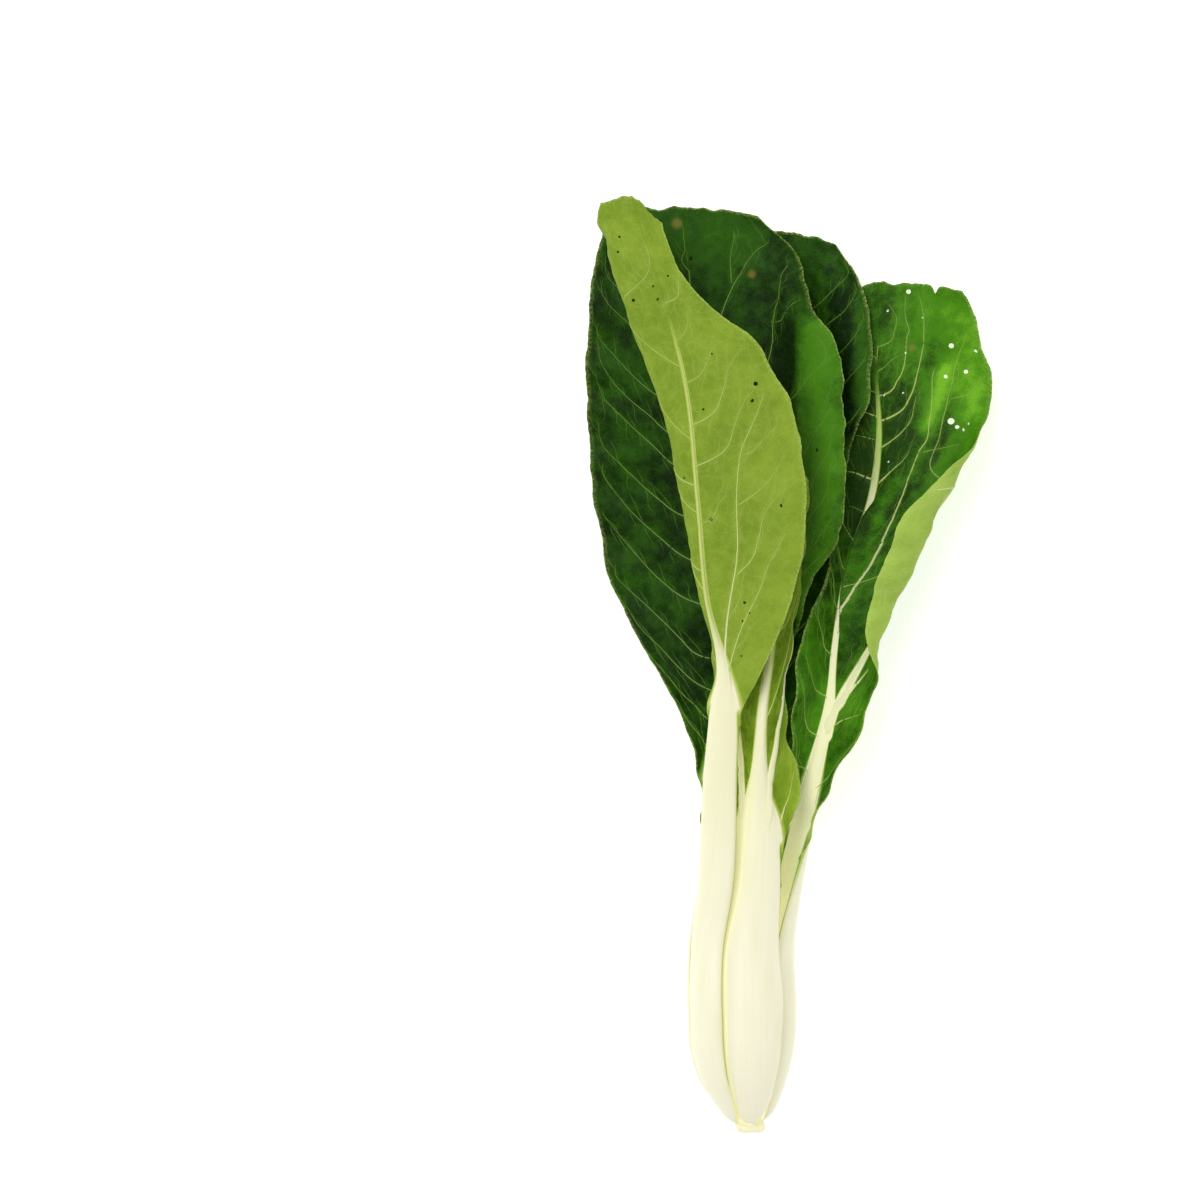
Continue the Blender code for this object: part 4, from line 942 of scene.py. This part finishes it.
def vein_part(shape, grid, line, outer, inner):
    """A vein as a slim closed ridge that stands out of both faces of the sheet, most on the underside."""
    side, path, start, end = line
    lookup = {**grid, "outer": outer, "inner": inner}
    keys = ("points", "normal", "outer", "inner", "s")
    points, normals, under, over, s = [along_path(lookup, key, side, path) for key in keys]
    normals /= np.linalg.norm(normals, axis=1)[:, None]
    tangent = np.gradient(points, axis=0)
    tangent /= np.maximum(np.linalg.norm(tangent, axis=1), 1e-9)[:, None]
    across = np.cross(tangent, normals)
    run = np.linspace(0, 1, len(path))
    width = (start + (end - start) * run ** 0.7) / 2
    width[-1] *= 0.4
    width[:2] *= (0.3, 0.75)
    merge = ease(0.0, 0.12, run)
    ring = VEIN_SIDES
    turn = np.arange(ring) * math.tau / ring
    face = shape["face"]
    rows = []
    facing = []
    for index in range(len(path)):
        raise_under = (0.05 + 0.42 * min(width[index], 1.2)) * merge[index]
        raise_over = (0.06 + 0.09 * width[index]) * merge[index]
        up = (under if face > 0 else over)[index] + (raise_under if face > 0 else raise_over)
        down = (over if face > 0 else under)[index] + (raise_over if face > 0 else raise_under)
        high = np.where(np.sin(turn) > 0, up, down)
        rows.append(points[index] + across[index] * (width[index] * np.cos(turn))[:, None]
                    + normals[index] * (high * np.sin(turn) * 1.1)[:, None])
        facing.append(np.where(np.sin(turn) * face > 0, 0.0, 1.0))
    vertices = np.concatenate(rows)
    faces = []
    for index in range(len(path) - 1):
        low = index * ring
        for point in range(ring):
            after = (point + 1) % ring
            faces.append((low + after, low + point, low + ring + point, low + ring + after))
    faces.append(tuple(range(ring)))
    faces.append(tuple(range((len(path) - 1) * ring, len(path) * ring))[::-1])
    count = len(vertices)
    climb = np.clip((path[:, 1] - grid["first"]) / (grid["last"] - grid["first"]), 0.0, 1.0)
    strong = np.clip((width * 2 - 0.12) / 0.9, 0.0, 1.0) ** 0.6
    weak = 0.75 if face < 0 and start < 0.4 else 1.0
    white = np.repeat((0.06 + 0.9 * strong) * (1 - 0.35 * climb) * weak, ring)
    # Veins carry the sheet's painted light and shade, raised by a fixed amount on the inner face.
    values = {
        "white": white, "vein": np.full(count, 1.0), "rim": np.zeros(count), "inner": np.concatenate(facing),
        "blotch": np.zeros(count), "bite": np.zeros(count),
        "tone": np.repeat(tone_field(shape["key"], points), ring) + (0.3 if face < 0 else 0.0),
        "place": np.column_stack((np.repeat(s, ring), np.repeat(points[:, 1], ring), np.full(count, 5.0))),
    }
    return vertices, faces, values


def spot_part(shape, grid, side, w, y, radius, bite):
    """A bite or a pale dot: a thin disc just proud of the upper face. bite is 1 for dark and -1 for pale."""
    centre = sample(grid, "points", side, w, y)
    normal = sample(grid, "normal", side, w, y)
    normal /= np.linalg.norm(normal)
    first = np.cross(normal, (0.0, 1.0, 0.0))
    first /= np.linalg.norm(first)
    second = np.cross(normal, first)
    turn = np.arange(SPOT_SIDES) * math.tau / SPOT_SIDES
    size = radius * (1 + 0.22 * np.sin(2 * turn + 5 * w) + 0.12 * np.sin(3 * turn + y))
    ring = centre + first * (size * np.cos(turn))[:, None] + second * (size * 1.25 * np.sin(turn))[:, None]
    top = ring + normal * (SHEET + 0.05)
    low = ring - normal * (SHEET + 0.05)
    vertices = np.concatenate((top, low))
    faces = [tuple(range(SPOT_SIDES)), tuple(range(2 * SPOT_SIDES - 1, SPOT_SIDES - 1, -1))]
    for point in range(SPOT_SIDES):
        after = (point + 1) % SPOT_SIDES
        faces.append((point, SPOT_SIDES + point, SPOT_SIDES + after, after))
    count = len(vertices)
    values = {name: np.zeros(count) for name in ATTRIBUTES}
    values["bite"] = np.full(count, bite)
    values["inner"] = np.full(count, 0.0 if shape["face"] > 0 else 1.0)
    values["place"] = np.zeros((count, 3)) + (w * 30 * side, y, 0.0)
    return vertices, faces, values


def join_parts(name, parts):
    """One object from several closed parts."""
    vertices = []
    faces = []
    values = {key: [] for key in ATTRIBUTES + ("place",)}
    start = 0
    for points, polygons, attributes in parts:
        vertices.append(points)
        faces.extend(tuple(corner + start for corner in face) for face in polygons)
        for key in values:
            values[key].append(attributes[key])
        start += len(points)
    points = np.concatenate(vertices)
    points[:, :2] -= ORIGIN
    points[:, 2] = np.maximum(points[:, 2], 0.0)
    used = np.zeros(len(points), dtype=bool)
    for face in faces:
        for corner in face:
            used[corner] = True
    order = np.cumsum(used) - 1
    faces = [tuple(int(order[corner]) for corner in face) for face in faces]
    mesh = bpy.data.meshes.new(name)
    mesh.from_pydata((points[used] * MM).tolist(), [], faces)
    mesh.update()
    for key, chunks in values.items():
        array = np.concatenate(chunks)[used]
        kind = "FLOAT_VECTOR" if key == "place" else "FLOAT"
        layer = mesh.attributes.new(key, kind, "POINT")
        layer.data.foreach_set("vector" if key == "place" else "value", array.astype(np.float32).reshape(-1))
    mesh.shade_smooth()
    mesh.set_sharp_from_angle(angle=math.radians(62))
    obj = bpy.data.objects.new(name, mesh)
    bpy.context.scene.collection.objects.link(obj)
    return obj


def srgb(red, green, blue):
    """Linear colour from screen values of 0 to 255."""
    values = [value / 255 for value in (red, green, blue)]
    linear = [value / 12.92 if value <= 0.04045 else ((value + 0.055) / 1.055) ** 2.4 for value in values]
    return (*linear, 1.0)


# Colours of each leaf: underside and inner face from dark to bright, veins on either face, and where the
# sheet turns brighter to one side (distance from the midrib in mm at which that starts and ends)
HIDDEN_FACE = ((24, 52, 12), (50, 94, 24), (72, 120, 34))
LOOKS = {
    "1": {"under": ((120, 150, 40), (144, 171, 54), (160, 186, 66)), "inner": HIDDEN_FACE,
          "under_vein": (206, 218, 124), "inner_vein": (122, 158, 70), "bright": (10, 34)},
    "2": {"under": ((86, 120, 16), (122, 156, 32), (146, 178, 48)), "inner": HIDDEN_FACE,
          "under_vein": (196, 212, 100), "inner_vein": (130, 164, 76), "bright": (4, 12)},
    "3": {"under": ((146, 180, 64), (172, 204, 88), (190, 216, 108)),
          "inner": ((32, 66, 10), (74, 138, 20), (124, 192, 42)),
          "under_vein": (216, 228, 146), "inner_vein": (184, 208, 108), "bright": (4, 36)},
    "4": {"under": ((106, 136, 36), (128, 156, 48), (146, 172, 60)),
          "inner": ((16, 36, 4), (44, 88, 14), (76, 134, 24)),
          "under_vein": (206, 218, 130), "inner_vein": (144, 182, 92), "bright": (60, 80)},
    "5": {"under": ((106, 136, 36), (130, 158, 50), (146, 172, 60)),
          "inner": ((14, 38, 6), (48, 94, 16), (80, 134, 30)),
          "under_vein": (208, 220, 134), "inner_vein": (126, 166, 78), "bright": (40, 60)},
    "heart": {"under": ((136, 166, 46), (166, 192, 74), (186, 208, 96)),
              "inner": ((78, 118, 30), (108, 148, 44), (132, 170, 60)),
              "under_vein": (226, 232, 170), "inner_vein": (196, 212, 132), "bright": (2, 8)},
}
# White flesh: its two tones and its streaks, then its colour further up, on the inner face, along an open
# edge (its own yellow-green, darkened as painted shade) and on that edge's line (painted shadow between the
# stalks), and its specks
STALK = ((253, 250, 224), (240, 237, 200), (216, 218, 140))
STALK_UP = (236, 236, 190)
STALK_INNER = (230, 230, 176)
STALK_EDGE = (206, 214, 124)
STALK_EDGE_SHADOW = (160, 164, 76)
SPECK = (140, 130, 84)
# Blade: dots of its rim (its own pale margin with painted highlights on its teeth), its lime edge beside the
# flesh (underside, inner face), and its marks
RIM_PALE_AND_HIGHLIGHT = (190, 212, 116)
LIME = ((178, 202, 70), (118, 172, 42))
BLOTCH = (142, 126, 60)
BITE = (30, 34, 12)
PALE_DOT = (236, 240, 214)
# Cut stem: its two tones, grain, leaf scars, the two tones of the cut face, and the light it emits, which is
# painted light
CUT_STEM = ((252, 248, 212), (238, 234, 184))
CUT_GRAIN = (222, 212, 150)
CUT_SCAR = (214, 202, 134)
CUT_FACE = ((226, 222, 172), (176, 152, 92))
CUT_PAINTED_GLOW = (252, 246, 200)
# Lamps: (name, place, turn in degrees, size, power), and the camera straight above
LAMPS = (
    ("key", (-0.55, 0.75, 1.5), (-26, -20, 0), 0.9, 14.0),
    ("fill", (0.9, -0.3, 1.3), (12, 34, 0), 1.2, 3.0),
)
SKY_STRENGTH = 0.45
CAMERA_PLACE = (-0.0448, 0.1262, 1.42)
CAMERA_LENS = 131.25
FLOOR_REACH = 3.0
FLOOR_DROP = 0.0002            # m below the table's level, so that nothing lies in the same plane
AROUND = 72                    # points in a ring of the cut stem


class Shader:
    """Short way to add and join the nodes of a material."""

    def __init__(self, name):
        self.material = bpy.data.materials.new(name)
        self.material.use_nodes = True
        self.tree = self.material.node_tree
        self.surface = self.tree.nodes["Principled BSDF"]

    def add(self, kind, inputs=(), **settings):
        """New node with its settings. inputs are (socket, value or socket of another node)."""
        node = self.tree.nodes.new(kind)
        for key, value in settings.items():
            setattr(node, key, value)
        for socket, value in inputs:
            self.put(node.inputs[socket], value)
        return node

    def put(self, socket, value):
        """Set a socket to a value, or join it to another node's output."""
        if isinstance(value, bpy.types.NodeSocket):
            self.tree.links.new(value, socket)
        else:
            socket.default_value = value

    def attribute(self, name):
        """Value that the mesh carries."""
        return self.add("ShaderNodeAttribute", attribute_name=name)

    def stretched(self, vector, scale):
        """Coordinates scaled along each axis."""
        return self.add("ShaderNodeMapping", ((0, vector), (3, scale))).outputs[0]

    def noise(self, vector, scale, detail=3.0, rough=0.55):
        """Soft noise from 0 to 1."""
        node = self.add("ShaderNodeTexNoise", (("Vector", vector), ("Scale", scale), ("Detail", detail),
                                               ("Roughness", rough)))
        return node.outputs[0]

    def cells(self, vector, scale, low, high):
        """Net of fine lines between cells: 1 on a line and 0 inside a cell."""
        node = self.add("ShaderNodeTexVoronoi", (("Vector", vector), ("Scale", scale)),
                        feature="DISTANCE_TO_EDGE")
        return self.ramp(node.outputs[0], low, high, 1.0, 0.0)

    def ramp(self, value, low, high, start=0.0, end=1.0):
        """Value carried from low..high to start..end along a smooth step."""
        node = self.add("ShaderNodeMapRange", ((0, value), (1, low), (2, high), (3, start), (4, end)),
                        interpolation_type="SMOOTHSTEP")
        return node.outputs[0]

    def sum(self, first, second):
        """Sum of two varying values, or of one and a constant."""
        return self.add("ShaderNodeMath", ((0, first), (1, second)), operation="ADD").outputs[0]

    def times(self, first, second):
        """Product of two varying values, or of one and a constant."""
        return self.add("ShaderNodeMath", ((0, first), (1, second)), operation="MULTIPLY").outputs[0]

    def mix(self, share, first, second, blend="MIX"):
        """Colour between two colours."""
        node = self.add("ShaderNodeMix", ((0, share), (6, first), (7, second)),
                        data_type="RGBA", blend_type=blend)
        return node.outputs[2]


def leaf_material(name, look):
    """Blade and stalk of one leaf: green sheet with its net of veins and painted light and shade, white flesh
    that glows as painted light and has painted shade along its edges, pale rim with painted highlights, small
    marks.
    """
    shader = Shader(name)
    place = shader.attribute("place").outputs["Vector"]
    across = shader.add("ShaderNodeSeparateXYZ", ((0, place),)).outputs[0]
    white, vein, rim, inner, blotch, bite, tone = [
        shader.attribute(name).outputs["Fac"] for name in ATTRIBUTES]

    wide = shader.noise(place, 0.055, 2.0)
    middle = shader.noise(place, 0.24, 4.0, 0.6)
    fine = shader.noise(place, 1.9, 4.0, 0.7)
    shift = shader.add("ShaderNodeTexNoise", (("Vector", place), ("Scale", 0.3))).outputs[1]
    warped = shader.mix(0.12, place, shift, "ADD")
    coarse_net = shader.cells(warped, 0.34, 0.0, 0.085)
    fine_net = shader.cells(warped, 0.95, 0.0, 0.12)

    side = shader.ramp(across, look["bright"][0], look["bright"][1], 0.0, 0.3)
    level = shader.sum(shader.ramp(wide, 0.32, 0.68, 0.16, 0.5), side)
    level = shader.sum(level, shader.ramp(middle, 0.3, 0.72, -0.14, 0.2))
    level = shader.sum(level, shader.ramp(fine, 0.3, 0.75, 0.12, -0.18))
    # Painted light and shade make the green brighter or darker.
    level = shader.sum(level, shader.times(tone, 0.8))
    sides = {}
    for face in ("under", "inner"):
        dark, light, bright = [srgb(*colour) for colour in look[face]]
        vein_colour = srgb(*look[f"{face}_vein"])
        base = shader.mix(shader.ramp(level, 0.0, 0.8), dark, light)
        base = shader.mix(shader.ramp(level, 0.75, 1.5), base, bright)
        net = shader.times(coarse_net, 0.09 if face == "under" else 0.05)
        base = shader.mix(net, base, vein_colour if face == "under" else bright)
        base = shader.mix(shader.times(fine_net, 0.035 if face == "under" else 0.025), base, bright)
        halo = shader.times(shader.ramp(vein, 0.2, 1.0), 0.14 if face == "under" else 0.06)
        sides[face] = shader.mix(halo, base, vein_colour)
    blade = shader.mix(inner, sides["under"], sides["inner"])
    # The blade's edge is painted pale in dots: partly its own pale margin, partly painted highlights on its
    # teeth.
    dots = shader.ramp(shader.noise(place, 1.1, 1.0), 0.42, 0.6, 0.25, 1.0)
    blade = shader.mix(shader.times(shader.times(rim, dots), 0.6), blade, srgb(*RIM_PALE_AND_HIGHLIGHT))
    edge = shader.times(shader.ramp(white, 0.03, 0.25), shader.ramp(white, 0.4, 0.8, 0.5, 0.0))
    blade = shader.mix(edge, blade, shader.mix(inner, srgb(*LIME[0]), srgb(*LIME[1])))

    lines = shader.noise(shader.stretched(place, (1.1, 0.016, 1.0)), 1.0, 2.0, 0.5)
    streak = shader.ramp(lines, 0.46, 0.74)
    cloud = shader.noise(shader.stretched(place, (0.1, 0.022, 1.0)), 1.0, 2.0)
    flesh = shader.mix(shader.ramp(cloud, 0.4, 0.75, 0.0, 0.7), srgb(*STALK[0]), srgb(*STALK[1]))
    flesh = shader.mix(shader.times(streak, 0.14), flesh, srgb(*STALK[2]))
    up = shader.add("ShaderNodeSeparateXYZ", ((0, place),)).outputs[1]
    flesh = shader.mix(shader.ramp(up, 50, 125, 0.0, 0.7), flesh, srgb(*STALK_UP))
    flesh = shader.mix(shader.times(inner, 0.6), flesh, srgb(*STALK_INNER))
    # Along a stalk's open edge the flesh turns yellow-green, partly its own colour and partly painted shade,
    # darkest on the edge's line as a painted shadow between the stalks.
    flesh = shader.mix(shader.times(rim, 0.9), flesh, srgb(*STALK_EDGE))
    flesh = shader.mix(shader.ramp(rim, 0.36, 0.5, 0.0, 0.8), flesh, srgb(*STALK_EDGE_SHADOW))
    specks = shader.noise(shader.stretched(place, (0.8, 0.8, 1.0)), 1.0, 1.0)
    flesh = shader.mix(shader.ramp(specks, 0.8, 0.83, 0.0, 0.5), flesh, srgb(*SPECK))

    vein_tint = shader.mix(inner, srgb(*look["under_vein"]), srgb(*look["inner_vein"]))
    pale = shader.mix(shader.ramp(white, 0.62, 0.97), vein_tint, flesh)
    colour = shader.mix(shader.ramp(white, 0.08, 0.72), blade, pale)
    colour = shader.mix(shader.ramp(blotch, 0.15, 0.9, 0.0, 0.6), colour, srgb(*BLOTCH))
    colour = shader.mix(shader.ramp(bite, 0.4, 0.6), colour, srgb(*BITE))
    colour = shader.mix(shader.ramp(shader.times(bite, -1.0), 0.4, 0.6), colour, srgb(*PALE_DOT))
    shader.put(shader.surface.inputs["Base Color"], colour)

    rough = shader.mix(inner, (0.58, 0.58, 0.58, 1.0), (0.4, 0.4, 0.4, 1.0))
    rough = shader.mix(shader.ramp(fine, 0.3, 0.8, 0.0, 0.35), rough, (0.68, 0.68, 0.68, 1.0))
    rough = shader.mix(shader.ramp(white, 0.5, 0.9), rough, (0.4, 0.4, 0.4, 1.0))
    shader.put(shader.surface.inputs["Roughness"], rough)
    shader.put(shader.surface.inputs["Specular IOR Level"], shader.ramp(white, 0.5, 0.9, 0.05, 0.14))
    # The white flesh glows a little, more on its inner face: painted light.
    shader.put(shader.surface.inputs["Emission Color"], srgb(*STALK[1]))
    painted_glow = shader.times(shader.ramp(white, 0.75, 0.95), shader.ramp(inner, 0.0, 1.0, 0.1, 0.24))
    shader.put(shader.surface.inputs["Emission Strength"], painted_glow)

    height = shader.mix(0.5, shader.times(coarse_net, 0.8), shader.times(fine_net, 0.5))
    height = shader.mix(0.3, height, fine)
    height = shader.mix(shader.ramp(white, 0.5, 0.9), height, shader.times(lines, 1.4))
    bump = shader.add("ShaderNodeBump", (("Height", height), ("Strength", 0.35), ("Distance", 0.00035)))
    shader.put(shader.surface.inputs["Normal"], bump.outputs[0])
    return shader.material


def crown_material():
    """Cut stem: pale yellow flesh, browned and rough where it was cut and where old leaves came off, and
    glowing a little as painted light.
    """
    shader = Shader("crown_flesh")
    place = shader.attribute("place").outputs["Vector"]
    cut = shader.attribute("white").outputs["Fac"]
    scar = shader.attribute("vein").outputs["Fac"]
    soft = shader.noise(place, 0.35, 4.0, 0.65)
    grain = shader.noise(place, 2.4, 4.0, 0.7)
    base = shader.mix(shader.ramp(soft, 0.35, 0.7), srgb(*CUT_STEM[0]), srgb(*CUT_STEM[1]))
    base = shader.mix(shader.ramp(grain, 0.55, 0.8, 0.0, 0.3), base, srgb(*CUT_GRAIN))
    base = shader.mix(shader.times(scar, 0.3), base, srgb(*CUT_SCAR))
    face = shader.mix(shader.ramp(grain, 0.4, 0.7), srgb(*CUT_FACE[0]), srgb(*CUT_FACE[1]))
    colour = shader.mix(cut, base, face)
    shader.put(shader.surface.inputs["Base Color"], colour)
    shader.put(shader.surface.inputs["Roughness"], shader.ramp(grain, 0.3, 0.7, 0.45, 0.7))
    shader.put(shader.surface.inputs["Specular IOR Level"], 0.15)
    # The whole stem glows a little: painted light.
    shader.put(shader.surface.inputs["Emission Color"], srgb(*CUT_PAINTED_GLOW))
    shader.put(shader.surface.inputs["Emission Strength"], 0.2)
    bump = shader.add("ShaderNodeBump", (("Height", grain), ("Strength", 0.5), ("Distance", 0.0005)))
    shader.put(shader.surface.inputs["Normal"], bump.outputs[0])
    return shader.material


def build_crown():
    """Cut stem and dome: leaf scars round its side, and a rough cut face with the ring of vessels."""
    rings = []
    values = {key: [] for key in ATTRIBUTES + ("place",)}
    turn = np.arange(AROUND) * math.tau / AROUND
    ys = np.concatenate((np.linspace(CROWN[0][0], 6.0, 22), np.linspace(6.4, CROWN[-1][0], 26)))
    cap = [(share, ys[0]) for share in (0.02, 0.3, 0.55, 0.75, 0.9)]
    dome = [(share, ys[-1]) for share in (0.8, 0.5, 0.2, 0.02)]
    for share, y in cap + [(1.0, y) for y in ys] + dome:
        centre, radius = smooth(CROWN, y)[0]
        wobble = 1 + 0.035 * np.sin(3 * turn + 0.7 * y) + 0.025 * np.cos(5 * turn)
        scar = np.exp(-((y - 3.4 - 0.8 * np.sin(2.5 * turn + 1)) / 0.35) ** 2)
        rough = 0.012 * np.sin(9 * turn + 2 * y) + 0.008 * np.sin(17 * turn - 3 * y)
        size = radius * share * (wobble - 0.02 * scar + rough)
        lift = 0.25 * np.sin(4 * turn + 3 * share) * (share < 0.95) * (y < 2)
        across = size * np.cos(turn)
        up = size * np.sin(turn)
        rings.append(np.stack((centre + across, y + lift * share, WHORL_Z + up), -1))
        on_cut = float(y < 1.0 and share < 0.97)
        values["white"].append(np.full(AROUND, on_cut))
        vessels = np.full(AROUND, math.exp(-((share - 0.62) / 0.12) ** 2))
        values["vein"].append(vessels if on_cut else scar)
        values["place"].append(np.stack((across, np.full(AROUND, y), up), -1))
        for key in ("rim", "inner", "blotch", "bite", "tone"):
            values[key].append(np.zeros(AROUND))
    faces = []
    for index in range(len(rings) - 1):
        low = index * AROUND
        for point in range(AROUND):
            after = (point + 1) % AROUND
            faces.append((low + point, low + AROUND + point, low + AROUND + after, low + after))
    faces.append(tuple(range(AROUND)))
    faces.append(tuple(range((len(rings) - 1) * AROUND, len(rings) * AROUND))[::-1])
    joined = {key: np.concatenate(chunks) for key, chunks in values.items()}
    return join_parts("cut_stem", [(np.concatenate(rings), faces, joined)])


def pale_floor():
    """Plain pale floor under the head."""
    mesh = bpy.data.meshes.new("floor")
    signs = ((-1, -1), (1, -1), (1, 1), (-1, 1))
    corners = [(x * FLOOR_REACH, y * FLOOR_REACH, -FLOOR_DROP) for x, y in signs]
    mesh.from_pydata(corners, [], [(0, 1, 2, 3)])
    floor = bpy.data.objects.new("floor", mesh)
    bpy.context.scene.collection.objects.link(floor)
    shader = Shader("pale_floor")
    shader.put(shader.surface.inputs["Base Color"], (0.9, 0.9, 0.9, 1.0))
    shader.put(shader.surface.inputs["Emission Color"], (1.0, 1.0, 1.0, 1.0))
    shader.put(shader.surface.inputs["Emission Strength"], 0.5)
    shader.put(shader.surface.inputs["Roughness"], 0.85)
    shader.put(shader.surface.inputs["Specular IOR Level"], 0.1)
    mesh.materials.append(shader.material)


def studio():
    """Soft studio light, and the camera straight above at the photograph's framing."""
    for name, place, turn, size, power in LAMPS:
        lamp = bpy.data.lights.new(name, "AREA")
        lamp.size = size
        lamp.energy = power
        obj = bpy.data.objects.new(name, lamp)
        obj.location = place
        obj.rotation_euler = [math.radians(value) for value in turn]
        bpy.context.scene.collection.objects.link(obj)
    world = bpy.data.worlds.new("studio")
    world.use_nodes = True
    world.node_tree.nodes["Background"].inputs[0].default_value = (1.0, 1.0, 1.0, 1.0)
    world.node_tree.nodes["Background"].inputs[1].default_value = SKY_STRENGTH
    bpy.context.scene.world = world
    bpy.context.scene.view_settings.view_transform = "Standard"
    camera = bpy.data.cameras.new("camera")
    camera.sensor_width = 36.0
    camera.lens = CAMERA_LENS
    camera.clip_start = 0.05
    camera.clip_end = 20.0
    obj = bpy.data.objects.new("camera", camera)
    obj.location = CAMERA_PLACE
    bpy.context.scene.collection.objects.link(obj)
    bpy.context.scene.camera = obj


def main():
    """Build every leaf and the crown, then the floor, light and camera."""
    for prefix, leaves, detail, slot in (("", LEAVES, OUTER, None), ("heart_", HEARTS, HEART, "young_leaf")):
        for name, leaf in leaves.items():
            obj, shape = build_leaf(name, prefix, leaf, detail)
            look = LOOKS["heart" if prefix else name]
            obj.data.materials.append(leaf_material(f"{prefix}leaf_{name}", look))
            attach(obj, "root")
            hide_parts(f"{prefix}stalk_{name}", f"{prefix}blade_{name}")
    crown = build_crown()
    crown.data.materials.append(crown_material())
    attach(crown, "root")
    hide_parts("crown")
    pale_floor()
    studio()


main()
